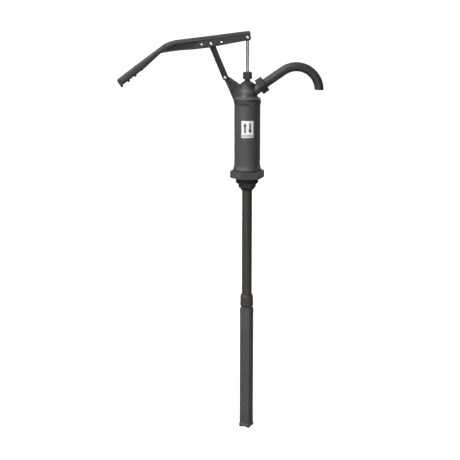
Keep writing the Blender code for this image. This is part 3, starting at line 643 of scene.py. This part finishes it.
def build_foot():
    """The cap on the tube's end, slightly wider than the tube, with low arches for liquid."""
    low, high = node_box("foot_strainer")
    outline = rounded_square(FOOT_CORNER, TUBE_FILLET, TUBE_TURN)
    foot = plate("foot_cap", outline, low.z, -686.3, 1.1)
    boolean(foot, "DIFFERENCE", bar("foot_bore", 11.5, -705.0, -680.0, TURNS_FINE))
    lining = ring("foot_lining", 10.0, 13.3, low.z + 0.6, high.z, 0.3)
    boolean(foot, "UNION", lining)
    for notch in range(2):
        turn = Matrix.Rotation(math.radians(TUBE_TURN - 45 + 90 * notch), 4, "Z")
        arch = plate("foot_arch", [(-5.5, -700.0), (5.5, -700.0), (5.2, -694.5, 1.6),
                                   (-5.2, -694.5, 1.6)], -25.0, 25.0, 0.1, turn @ ALONG_X)
        boolean(foot, "DIFFERENCE", arch)
    publish(foot, "extension", "tube_grey", "foot_strainer")


# ---------------------------------------------------------------- cylinder, head and gland

def build_cylinder():
    low, high = node_box("cylinder")
    barrel = turned("pump_cylinder", [
        (32.0, high.z, 0.6), (32.0, 191.7, 0.4), (34.0, 191.7, 0.6), (34.0, 33.4, 7.0),
        (36.4, 25.0, 0.8), (36.4, 24.2, 0.3), (36.9, 23.6, 0.4), (36.9, low.z, 0.5),
        (29.5, low.z, 0.4), (29.5, high.z, 0.4)], TURNS_WIDE)
    publish(barrel, "pump_body", "charcoal_body", "cylinder")


RISE = math.asin(JOINTS["spout_swivel"]["axis"][2])
OUTLET_Z = joint_xz("spout_swivel")[1]
OUTLET = (Matrix.Translation((0, 0, OUTLET_Z * MM))
          @ Matrix.Rotation(math.pi / 2 - RISE, 4, "Y"))
OUTLET_BORE = 8.5
BRACKET_Y = 4.5                # half the bracket's thickness, and half its web's
WEB_FLOOR = 1.8


def build_bracket(pivot):
    """The triangular web that carries the link's pivot, with raised rims."""
    web = side_plate("bracket_web", [
        (-58.9, 254.8), (-36.4, 203.4, 1.0), (-31.0, 205.3), (-25.0, 213.0), (-22.0, 226.0),
        (-19.8, 236.0), (-17.0, 240.0), (-18.0, 243.2), (-42.8, 260.0, 3.0),
        (-56.0, 268.0)], BRACKET_Y, 0.7)
    ear = turned("bracket_ear", [
        (0.0, BRACKET_Y), (8.0, BRACKET_Y, 0.8), (8.0, -BRACKET_Y, 0.8), (0.0, -BRACKET_Y)],
        TURNS_SMALL, side_place(pivot))
    boolean(web, "UNION", ear)
    pocket = [(-49.8, 250.2, 2.5), (-36.2, 216.6, 2.5), (-30.2, 216.6, 1.5), (-26.6, 241.8, 1.5),
              (-44.6, 253.8, 3.0)]
    for low, high in ((-8.0, -WEB_FLOOR), (WEB_FLOOR, 8.0)):
        boolean(web, "DIFFERENCE", plate("bracket_pocket", pocket, low, high, 0.4, SIDE_VIEW))
    return web


def on_bracket(x, y, z):
    """True on the bracket's sides and rims, outside the line where it meets the dome."""
    return abs(y) < BRACKET_Y + 0.1 and x < -20.2 - (243.0 - z) * 0.19 and z > 210.0


def build_pump_head():
    """The cap: its outside with the boss and the bracket, then the hollow inside them."""
    low = node_box("pump_head")[0]
    neck, painted_shadow_line, boss_x, boss_low = 269.7, 243.0, 24.0, 214.0
    pivot = joint_xz("link_rock")
    head = turned("pump_head_casting", [
        (0.0, neck), (8.5, neck, 0.5), (8.5, 258.0, 0.3), (6.8, 257.2, 0.3), (6.8, 253.4, 1.6),
        (10.0, 251.2, 2.0), (15.6, 247.7, 3.0), (20.0, 243.4, 2.4), (21.6, 236.0, 3.0),
        (23.4, 226.0, 4.0), (25.0, 217.5, 3.0), (26.6, 213.5, 1.6), (29.5, 210.8, 1.8),
        (33.2, 208.9, 1.2), (34.7, 207.5, 0.8), (34.7, 204.6, 0.3), (33.9, 204.1, 0.3),
        (33.9, 203.4, 0.2), (35.8, 203.0, 0.3), (35.8, 198.4, 1.4), (34.5, low.z, 0.4),
        (0.0, low.z)], TURNS_WIDE)
    hollow = turned("head_hollow", [
        (0.0, neck + 5.0), (7.0, neck + 5.0), (7.0, 262.0), (4.6, 262.0), (4.6, 247.0),
        (12.5, 244.0), (16.4, 240.5), (18.4, 235.0), (20.4, 226.0), (22.4, 213.0),
        (27.0, 201.1), (32.3, 201.1), (32.3, low.z - 5.0), (0.0, low.z - 5.0)], TURNS_WIDE)
    boss = turned("outlet_boss", [
        (0.0, 47.0), (15.8, 47.0, 0.6), (15.8, 38.6, 0.4), (13.5, 37.6, 0.6), (13.5, 15.0),
        (0.0, 15.0)], place=OUTLET)
    boolean(head, "UNION", boss, build_bracket(pivot))
    bore = bar("outlet_bore", OUTLET_BORE, 8.0, 60.0, TURNS_FINE, OUTLET)
    boolean(head, "DIFFERENCE", hollow, bore, cross_bar("bracket_hole", pivot, PIN_HOLE_R, 10.0))
    publish(head, "pump_body", "charcoal_body", "pump_head", look="head_gloss")
    repaint(head, "bracket", lambda x, y, z:
            on_bracket(x, y, z) or (x > boss_x and boss_low < z <= painted_shadow_line))
    # Painted shade: the floors of the bracket's pockets take a darker look
    repaint(head, "bracket_web", lambda x, y, z:
            on_bracket(x, y, z) and abs(abs(y) - WEB_FLOOR) < 0.1)
    # Painted shadow: the dome's top above 243 mm, under the packing nut, takes a darker look
    repaint(head, "head_shade", lambda x, y, z: z > painted_shadow_line and not on_bracket(x, y, z))


def hexagon_nut(name, corner, low, high, rims, place=Matrix(), turn=0.0):
    """A hexagon with softened corners; rims gives its ends' chamfers, low then high."""
    outline = [(*point, 0.8) for point in arc((0, 0), corner + 0.1, -90 + turn, 210 + turn, 5)]
    nut = plate(name, outline, low, high, 0.35, place)
    reach = corner + 1.0
    flat = corner * math.cos(math.radians(30))
    outline = [(0.0, high + 0.1), (flat, high + 0.1), (reach, high - rims[1])]
    outline += [(reach, low + rims[0]), (flat, low - 0.1), (0.0, low - 0.1)]
    boolean(nut, "INTERSECT", turned(name + "_rounding", outline, place=place))
    return nut


def build_packing_nut():
    """The nut that presses the packing, with a bore for the rod."""
    low, high = node_box("packing_nut")
    nut = hexagon_nut("gland_nut", 12.1, low.z, high.z, (0.8, 1.4), turn=30.0)
    boolean(nut, "DIFFERENCE", bar("gland_thread", 8.8, 250.0, 270.5),
            turned("gland_passage", [
                (0.0, 280.0), (8.0, 278.0), (ROD_RADIUS + 0.3, high.z - 1.2, 0.3),
                (ROD_RADIUS + 0.3, 265.0), (0.0, 265.0)], TURNS_SMALL))
    publish(nut, "pump_body", "charcoal_body", "packing_nut", look="nut_dark")


# ---------------------------------------------------------------- spout and union nut

UNION_LOW, UNION_HIGH = 36.4, 55.4      # along the outlet's axis
SPOUT_START = 48.3
SPOUT_STRAIGHT_END = 112.0
SPOUT_RADIUS = 12.0
SPOUT_BEND = 59.2
SPOUT_SWEEP = math.radians(127)


def spout_path(start):
    """Points along the spout's centre line: straight out of the head, then one long bend."""
    along = Vector((math.cos(RISE), 0, math.sin(RISE)))
    inward = Vector((math.sin(RISE), 0, -math.cos(RISE)))
    root = Vector((0, 0, OUTLET_Z))
    points = [root + along * distance for distance in (start, 80.0, SPOUT_STRAIGHT_END)]
    centre = points[-1] + inward * SPOUT_BEND
    steps = 56
    for step in range(1, steps + 1):
        angle = math.pi / 2 + RISE - SPOUT_SWEEP * step / steps
        points.append(centre + Vector((math.cos(angle), 0, math.sin(angle))) * SPOUT_BEND)
    return points


def build_spout():
    """The bent pipe with its flange, its bore and a level cut at its mouth."""
    mouth = node_box("spout")[0].z
    spout = bent_bar("spout_pipe", spout_path(SPOUT_START), SPOUT_RADIUS, 22)
    flange = turned("spout_flange", [
        (0.0, 51.0), (15.5, 51.0, 0.5), (15.5, SPOUT_START, 0.4), (0.0, SPOUT_START - 0.001)],
        place=OUTLET)
    path = spout_path(SPOUT_START - 10.0)
    path.append(path[-1] + (path[-1] - path[-2]).normalized() * 4.0)
    bore = bent_bar("spout_bore", path, OUTLET_BORE, 18)
    cut = block("spout_cut", (165.0, -20.0, 190.0), (210.0, 20.0, mouth))
    boolean(spout, "UNION", flange)
    boolean(spout, "DIFFERENCE", bore, cut)
    publish(spout, "spout_pipe", "charcoal_body", "spout", look="spout_pipe")


def build_union_nut():
    nut = hexagon_nut("union_nut", 23.2, UNION_LOW, UNION_HIGH, (0.3, 0.3), OUTLET)
    boolean(nut, "DIFFERENCE", bar("union_thread", 16.1, 30.0, 51.3, TURNS_FINE, OUTLET),
            bar("union_passage", SPOUT_RADIUS + 0.3, 40.0, 60.0, TURNS_FINE, OUTLET))
    publish(nut, "spout_union", "charcoal_body", "spout_nut", look="union_matte")


# ---------------------------------------------------------------- lever, links and pins

ROD_PIVOT = joint_xz("lever_swing")
BRACKET_PIVOT = joint_xz("link_rock")
LINK_BOX = node_box("lever_link_pin")
LINK_PIVOT = ((LINK_BOX[0].x + LINK_BOX[1].x) / 2, (LINK_BOX[0].z + LINK_BOX[1].z) / 2)
LEVER_TOP_FRONT = (5.0, 380.0)
LEVER_TOP_BEND = (-182.3, 356.9)
LEVER_BEND = [(-189.0, 355.5), (-196.0, 353.6), (-203.0, 351.5), (-209.5, 348.9)]
GRIP_START = (-222.2, 341.5)
GRIP_TIP = (-337.5, 255.6)
GRIP_LENGTH = math.dist(GRIP_TIP, GRIP_START)
GRIP_NECK_DEPTH, GRIP_DEPTH = 14.5, 20.0
FINGER_PITCH = 22.3
FLANGE_DEPTH = 9.0
FLANGE_SHOULDER = 6.5
WEB_Y, FLANGE_Y, CHANNEL_Y = 12.5, 14.0, 9.5
PANEL = [(-187.0, 345.8, 3.0), (-124.0, 354.4, 2.0), (-139.0, 337.0, 2.0), (-178.0, 333.8, 3.0),
         (-198.0, 330.8, 3.0), (-210.0, 329.0, 1.0), (-209.0, 333.6, 1.0), (-196.0, 341.2, 3.0)]
PANEL_DEPTH = 1.3


def top_line(x):
    """Height of the lever's straight top edge at x."""
    (x0, z0), (x1, z1) = LEVER_TOP_FRONT, LEVER_TOP_BEND
    return z0 + (z1 - z0) * (x - x0) / (x1 - x0)


def grip_point(along, depth):
    """A point on the grip, by its distance along the top edge and its depth below that."""
    start, tip = Vector(GRIP_START), Vector(GRIP_TIP)
    direction = (tip - start).normalized()
    below = Vector((-direction.y, direction.x))
    return tuple(start + direction * along + below * depth)


def grip_underside(start, ridge, inset=0.0):
    """The grip's lower edge from start to the hook, raised by inset, with finger ridges of a
    given height."""
    last_ridge = GRIP_LENGTH - 1.0
    points = []
    steps = 120
    for step in range(steps + 1):
        along = start + (last_ridge - start) * step / steps
        swell = min(1.0, max(0.0, along - 12.0) / 55.0)
        depth = GRIP_NECK_DEPTH + (GRIP_DEPTH - GRIP_NECK_DEPTH) * swell
        fade = min(1.0, max(0.0, (along - 55.0) / 50.0))
        wave = max(0.0, math.cos(math.tau * (along - last_ridge) / FINGER_PITCH))
        points.append(grip_point(along, depth - inset + (ridge + inset) * fade * wave ** 3))
    return points


def build_grip():
    """The rounded handle bar and the thinner finger ridges under it."""
    tip = GRIP_LENGTH
    bar_outline = [(*grip_point(-14.0, 5.5), 1.0), (*grip_point(-3.0, 0.6), 4.0),
                   grip_point(tip * 0.5, 0.0), (*grip_point(tip - 1.0, 0.0), 3.0),
                   (*grip_point(tip + 1.2, 10.0), 3.0), (*grip_point(tip + 0.8, 19.7), 3.0)]
    bar_outline += grip_underside(12.0, 0.0)[::-1] + [grip_point(-6.0, 15.5)]
    grip = side_plate("lever_grip", bar_outline, FLANGE_Y, 6.0, 5)
    ridges = [grip_point(45.0, 9.0), grip_point(tip - 6.0, 9.0),
              (*grip_point(tip + 1.7, 16.0), 2.0), (*grip_point(tip + 1.3, 23.6), 1.0)]
    ridges += grip_underside(45.0, 5.0, 1.3)[::-1]
    boolean(grip, "UNION", side_plate("finger_ridges", ridges, 7.0, 0.5, 1))
    return grip


def shouldered_plate(name, top, bottom, half_width, shoulder):
    """A solid about the plane Y = 0, between a top line that runs towards -X and a bottom line
    that runs back. Its two long upper edges are cut away at 45 degrees."""
    lowered = []
    for index, point in enumerate(top):
        if index == 0:
            below = Vector(bottom[-1]) - Vector(point)
        elif index == len(top) - 1:
            below = Vector(bottom[0]) - Vector(point)
        else:
            along = Vector(top[index + 1]) - Vector(top[index - 1])
            below = Vector((-along.y, along.x))
        lowered.append(Vector(point) + below.normalized() * shoulder)
    bm = bmesh.new()
    rings = []
    for y in (-half_width, shoulder - half_width, half_width - shoulder, half_width):
        upper = lowered if abs(y) == half_width else top
        rings.append([bm.verts.new((point[0] * MM, y * MM, point[1] * MM))
                      for point in [*upper, *bottom]])
    for near, far in zip(rings, rings[1:]):
        for index, vert in enumerate(near):
            bm.faces.new((vert, near[index - 1], far[index - 1], far[index]))
    bm.faces.new(rings[0])
    bm.faces.new(rings[-1][::-1])
    obj = keep_shape(name, bm)
    bevel = obj.modifiers.new("soft_edges", "BEVEL")
    bevel.width = 1.0 * MM
    bevel.segments = 2
    bevel.limit_method = "ANGLE"
    bevel.angle_limit = math.radians(25)
    return settled(obj)


def mirrored_cuts(arm, name, outline, depth):
    """Cut the same shallow pocket into both sides of the lever's arm."""
    for low, high in ((-WEB_Y - 3.0, depth - WEB_Y), (WEB_Y - depth, WEB_Y + 3.0)):
        boolean(arm, "DIFFERENCE", plate(name, outline, low, high, 0.4, SIDE_VIEW),
                solver="MANIFOLD")


def build_lever():
    """The channel-shaped arm with its flanged top, grip, panels, dimples and holes."""
    nose = arc(ROD_PIVOT, 9.2, -110, -18, 12)
    arm = side_plate("lever_arm", [
        (8.4, 367.5, 2.0), (4.0, top_line(4.0) - 2.0, 1.0),
        (-182.3, top_line(-182.3) - 2.0, 6.0), (-196.0, 351.0, 5.0), (-209.5, 346.0, 5.0),
        (*grip_point(2.0, 2.6), 2.0), (-222.5, 323.6, 1.0), (-193.9, 328.4, 8.0),
        (-173.4, 331.0, 8.0), (-142.6, 333.0, 8.0), (-98.9, 337.8, 4.0),
        (-79.7, 341.6, 4.0)] + nose, WEB_Y, 0.9)
    flange = shouldered_plate("lever_flange", [
        LEVER_TOP_FRONT, LEVER_TOP_BEND, *LEVER_BEND, (-216.5, 345.2), grip_point(1.0, 0.6)], [
            grip_point(1.0, FLANGE_DEPTH), (-205.0, 338.6), (-193.0, 343.8),
            (-181.3, top_line(-181.3) - FLANGE_DEPTH), (8.8, top_line(8.8) - FLANGE_DEPTH)],
        FLANGE_Y, FLANGE_SHOULDER)
    boolean(arm, "UNION", flange, build_grip(), solver="MANIFOLD")
    roof = 5.4
    channel = side_plate("lever_channel", [
        (20.0, top_line(20.0) - roof), (-186.0, top_line(-186.0) - roof, 3.0),
        (-192.0, 346.0, 3.0), (-192.0, 310.0), (20.0, 310.0)], CHANNEL_Y, 0.5)
    boolean(arm, "DIFFERENCE", channel, solver="MANIFOLD")
    mirrored_cuts(arm, "lever_panel", PANEL, PANEL_DEPTH)
    for centre in ((-15.5, 362.8), (-79.5, 350.0), (-104.6, 346.4)):
        dimple = [(centre[0] + x, centre[1] + y) for x, y in arc((0, 0), 1.5, 0, 340, 17)]
        mirrored_cuts(arm, "lever_dimple", dimple, 1.4)
    spare_hole_r = 2.7
    for centre, radius in ((ROD_PIVOT, PIN_HOLE_R), (LINK_PIVOT, PIN_HOLE_R),
                           ((-117.9, 345.6), spare_hole_r), ((-66.9, 351.5), spare_hole_r)):
        boolean(arm, "DIFFERENCE", cross_bar("lever_hole", centre, radius, 20.0),
                solver="MANIFOLD")
    publish(arm, "lever", "lever_black", "lever")
    floor = WEB_Y - PANEL_DEPTH
    panel_from, panel_to = -212.0, -125.0
    # Painted shadow: the recessed panel floors under the flange take a darker look
    repaint(arm, "lever_panel", lambda x, y, z:
            abs(abs(y) - floor) < 0.1 and panel_from < x < panel_to)


def build_link(name, node, side):
    """A link plate with raised rims, and a notch that the lever's pin leaves by in mid-stroke."""
    low, high = node_box(node)
    inner, outer = sorted((-low.y, -high.y))
    top, bottom = Vector(LINK_PIVOT), Vector(BRACKET_PIVOT)
    lean = math.degrees(math.atan2(top.y - bottom.y, top.x - bottom.x))
    axis = (top - bottom).normalized()
    outline, slot = (
        arc(top - axis * inset, radius, lean - 90, lean + 90, steps)
        + arc(bottom + axis * inset, radius, lean + 90, lean + 270, steps)
        for radius, inset, steps in ((7.6, 0.0, 24), (3.9, 12.0, 16)))
    link = plate(name, outline, inner, outer, 1.4, SIDE_VIEW, 3)
    floor = 7.4
    face = sorted((-side * floor, -side * 12.0))
    boolean(link, "DIFFERENCE", plate(name + "_recess", slot, *face, 0.3, SIDE_VIEW),
            cross_bar(name + "_hole", BRACKET_PIVOT, PIN_HOLE_R, 12.0))
    half = 3.7
    notch = arc(top, half, -90, 90, 16) + [(top.x - 20.0, top.y + half + 1.2),
                                           (top.x - 20.0, top.y - half)]
    boolean(link, "DIFFERENCE", side_plate(name + "_notch", notch, 12.0, 0.1))
    publish(link, "link", "lever_black", node, look="link_black")
    # The recess floor takes a slightly lighter, rougher look than the rims
    repaint(link, "link_web", lambda x, y, z: abs(abs(y) - floor) < 0.1)


def build_rivet(name, node, centre, reach, body):
    """A shank with a domed, slightly dimpled head at each end."""
    crown, head_radius, shank_radius = reach + 2.2, 4.3, 3.0
    outline = [(0.0, crown - 0.55), (1.1, crown - 0.5, 0.4), (1.9, crown - 0.02, 0.5),
               (3.2, crown - 0.45, 0.8), (head_radius, reach + 0.8, 0.6),
               (head_radius, reach, 0.25), (shank_radius, reach, 0.1)]
    outline += [(point[0], -point[1], *point[2:]) for point in reversed(outline)]
    rivet = turned(name, outline, TURNS_SMALL, side_place(centre))
    publish(rivet, body, "rivet_steel", node)


def build_rod():
    """The rod, with a thinner stud for the piston below and a flat round eye above."""
    low = node_box("piston_rod")[0]
    shoulder, stud_radius, eye_radius = 127.3, 3.3, 7.5
    rod = turned("rod_bar", [
        (0.0, ROD_PIVOT[1]), (ROD_RADIUS, ROD_PIVOT[1]), (ROD_RADIUS, shoulder, 0.3),
        (stud_radius, shoulder, 0.2), (stud_radius, low.z, 0.5), (0.0, low.z)], TURNS_SMALL)
    eye = turned("rod_eye", [
        (0.0, ROD_RADIUS), (eye_radius, ROD_RADIUS, 0.6), (eye_radius, -ROD_RADIUS, 0.6),
        (0.0, -ROD_RADIUS)], TURNS_SMALL, side_place(ROD_PIVOT))
    boolean(rod, "UNION", eye, solver="MANIFOLD")
    boolean(rod, "DIFFERENCE", cross_bar("rod_eye_hole", ROD_PIVOT, PIN_HOLE_R, 8.0),
            solver="MANIFOLD")
    publish(rod, "rod", "rod_steel", "piston_rod")


# ---------------------------------------------------------------- label

LABEL_RADIUS = 34.3


def wrapped(name, outline, depth_in, depth_out):
    """Bend a flat (across, height) outline, in 1 mm strips, round the cylinder's front as a
    thin film."""
    bm = bmesh.new()
    verts = [bm.verts.new((x, y, 0.0)) for x, y in outline]
    bm.faces.new(verts)
    for cut in range(-15, 16):
        geometry = bm.verts[:] + bm.edges[:] + bm.faces[:]
        bmesh.ops.bisect_plane(bm, geom=geometry, plane_co=(cut, 0, 0), plane_no=(1, 0, 0))
    front = bmesh.ops.extrude_face_region(bm, geom=bm.faces[:])
    raised = {item for item in front["geom"] if isinstance(item, bmesh.types.BMVert)}
    for vert in bm.verts:
        radius = LABEL_RADIUS + (depth_out if vert in raised else depth_in)
        angle = vert.co.x / LABEL_RADIUS - math.pi / 2
        vert.co = (radius * math.cos(angle) * MM, radius * math.sin(angle) * MM, vert.co.y * MM)
    return keep_shape(name, bm)


def build_label():
    """A white film with a plain pictogram: two arrows for the stroke, over a band of bars."""
    low, high = node_box("label")
    half, bottom, top, corner = 16.0, low.z, high.z, 1.2
    film = wrapped("label_film", filleted([
        (-half, bottom, corner), (half, bottom, corner), (half, top, corner),
        (-half, top, corner)]), 0.0, 0.3)
    publish(film, "pump_body", "label_film", "label")
    middle = (bottom + top) / 2 + 3.6
    ink = (0.32, 0.42)
    marks = []
    for side, direction in ((-1, 1), (1, -1)):
        x, head, shaft = side * 6.6, 5.0, 2.2
        tip, neck, tail = (middle + direction * offset for offset in (14.0, 5.0, -13.0))
        arrow = [(x - shaft, tail), (x + shaft, tail), (x + shaft, neck), (x + head, neck),
                 (x, tip), (x - head, neck), (x - shaft, neck)]
        marks.append(wrapped(f"label_arrow_{side}", arrow, *ink))
    for row in range(2):
        for column in range(6):
            x = -13.6 + column * 4.7
            y = bottom + 2.2 + row * 3.4
            width, height = 3.6 if (row + column) % 2 else 4.4, 1.6
            marks.append(wrapped(f"label_bar_{row}_{column}", [
                (x, y), (x + width, y), (x + width, y + height), (x, y + height)], *ink))
    for mark in marks:
        publish(mark, "pump_body", "label_film", look="label_ink")


# ---------------------------------------------------------------- seals and inner pieces

def build_rings():
    """Round inner pieces, read from their CAD boxes; each row is (node, bore, body, slot)."""
    rows = (
        ("head_seal", 27.3, "pump_body", "seal_rubber"),
        ("cylinder_seal", 30.0, "pump_body", "seal_rubber"),
        ("tube_socket_seal", 9.6, "pump_body", "seal_rubber"),
        ("gland_packing", 4.6, "pump_body", "seal_rubber"),
        ("clamp_ring", 13.6, "extension", "valve_nylon"),
        ("piston_cup_upper", 25.3, "rod", "seal_rubber"),
        ("piston_cup_lower", 25.3, "rod", "seal_rubber"),
        ("valve_stop_washer", 4.6, "rod", "rod_steel"),
        ("piston_valve_disc", 4.6, "piston_valve", "valve_nylon"),
    )
    for node, bore, body, slot in rows:
        low, high = node_box(node)
        edge = min(0.6, (high.z - low.z) / 3)
        publish(ring(node + "_ring", bore, high.x, low.z, high.z, edge), body, slot, node)
    clearance = 0.08
    for node, side in (("rod_spacer_front", 1), ("rod_spacer_rear", -1)):
        low, high = node_box(node)
        near, far = sorted((abs(low.y), abs(high.y)))
        ends = sorted((side * (near + clearance), side * far))
        spacer = ring(node + "_ring", PIN_HOLE_R, (high.x - low.x) / 2, *ends, 0.4, TURNS_SMALL,
                      side_place(ROD_PIVOT))
        publish(spacer, "lever", "lever_black", node)
    seal = ring("spout_seal_ring", 9.0, 15.0, 47.3, 48.0, 0.2, place=OUTLET)
    publish(seal, "pump_body", "seal_rubber", "spout_seal")


def finish_cad_nodes():
    """Inner nodes that keep their CAD shape take their slot's material and smooth shading."""
    slots = {row["node"]: row["material_slot"] for row in frame["record"]["subparts"]}
    for name in ("foot_valve_disc", "foot_valve_cage", "piston", "piston_nut"):
        dress(frame["nodes"][name], slots[name])


# ---------------------------------------------------------------- assembly

bpy.context.scene.view_settings.view_transform = "Standard"
make_camera()
make_sun("key_light", -50, 35, 3.5, 30, (1.0, 0.99, 0.975))
make_sun("top_light", -90, 65, 1.9, 30, (0.97, 0.98, 1.0))
make_sun("front_light", -16, 5, 1.05, 25, (1.0, 1.0, 1.0))
make_sun("rim_light", 140, 20, 1.4, 25, (1.0, 1.0, 1.0))
make_sun("low_light", 40, -30, 0.8, 25, (0.97, 0.98, 1.0))
make_fill("fill_light", (0.55, -0.80, -0.62), 0.45, 3.2, (0.95, 0.97, 1.0))
make_world(0.16, (1.0, 1.0, 1.0))
make_floor()

# Look, the material's name, colour, roughness and specular level; then, on the lever and the
# head, how the streaks stretch, and the painted shade and highlights by height
POLYMERS = (
    ("charcoal_body", "charcoal_polymer", (0.050, 0.047, 0.0465), 0.56, 0.45),
    ("pipe_brown", "extruded_pipe", (0.028, 0.0230, 0.0195), 0.58, 0.35),
    ("tube_grey", "grey_polymer", (0.042, 0.041, 0.046), 0.60, 0.40),
    ("lever_black", "lever_polymer", (0.036, 0.0315, 0.0315), 0.55, 0.40, (0.15, 1, 1)),
    ("bracket", "bracket_polymer", (0.043, 0.042, 0.042), 0.58, 0.35),
    # bracket_web: painted shade in the bracket's pockets
    ("bracket_web", "bracket_web_texture", (0.034, 0.033, 0.033), 0.62, 0.30),
    # head_shade: painted shadow of the packing nut on the dome's top
    ("head_shade", "head_grime", (0.026, 0.025, 0.027), 0.62, 0.30),
    # bung_shade: painted shade under the hexagon
    ("bung_shade", "thread_polymer", (0.017, 0.014, 0.012), 0.56, 0.40),
    ("nut_dark", "nut_polymer", (0.023, 0.022, 0.022), 0.54, 0.40),
    ("union_matte", "union_polymer", (0.030, 0.026, 0.026), 0.66, 0.22),
    ("bung_body", "bung_polymer", (0.045, 0.041, 0.039), 0.58, 0.40),
    ("spout_pipe", "spout_polymer", (0.025, 0.0222, 0.0218), 0.55, 0.40),
    ("clamp_dark", "clamp_polymer", (0.031, 0.026, 0.024), 0.56, 0.40),
    ("link_black", "link_polymer", (0.013, 0.013, 0.013), 0.55, 0.35),
    ("link_web", "link_web_texture", (0.017, 0.017, 0.017), 0.62, 0.35),
    # head_gloss: its height bands are painted shade in the grooves and painted highlights on the flare and dome
    ("head_gloss", "head_polymer", (0.052, 0.051, 0.056), 0.48, 0.45, (1, 1, 0.15),
     ((198.0, 0.75), (202.0, 0.8), (204.5, 0.45), (207.0, 0.9), (210.0, 1.5), (214.0, 0.85),
      (218.0, 0.6), (223.0, 1.0), (229.5, 1.45), (236.0, 0.7), (243.0, 0.3))),
    # lever_panel: painted shadow under the flange, on the panel floors
    ("lever_panel", "lever_panel_texture", (0.024, 0.022, 0.021), 0.70, 0.25),
)
MATERIALS = {look: moulded_plastic(*values) for look, *values in POLYMERS} | {
    "rod_steel": ground_steel("rod_ground_steel", (0.72, 0.67, 0.60), 0.30, (1, 1, 0.02)),
    "rivet_steel": ground_steel("rivet_bright_steel", (0.60, 0.58, 0.54), 0.42, (1, 1, 1)),
    "seal_rubber": soft_rubber("black_rubber", (0.012, 0.012, 0.012)),
    "valve_nylon": natural_nylon("natural_nylon", (0.62, 0.60, 0.53)),
    "label_film": printed_film("white_film", (0.74, 0.74, 0.735)),
    "label_ink": printed_film("dark_ink", (0.045, 0.045, 0.047)),
}

build_cylinder()
build_pump_head()
build_bung_adapter()
build_packing_nut()
build_suction_tube()
build_clamp_nut()
build_extension_tube()
build_foot()
build_spout()
build_union_nut()
build_lever()
build_link("link_plate_front", "link_front", -1)
build_link("link_plate_rear", "link_rear", 1)
build_rivet("rod_rivet", "rod_pin", ROD_PIVOT, 12.8, "lever")
build_rivet("link_rivet", "lever_link_pin", LINK_PIVOT, 12.8, "lever")
build_rivet("bracket_rivet", "bracket_pin", BRACKET_PIVOT, 9.1, "pump_body")
build_rod()
build_rings()
build_label()
finish_cad_nodes()
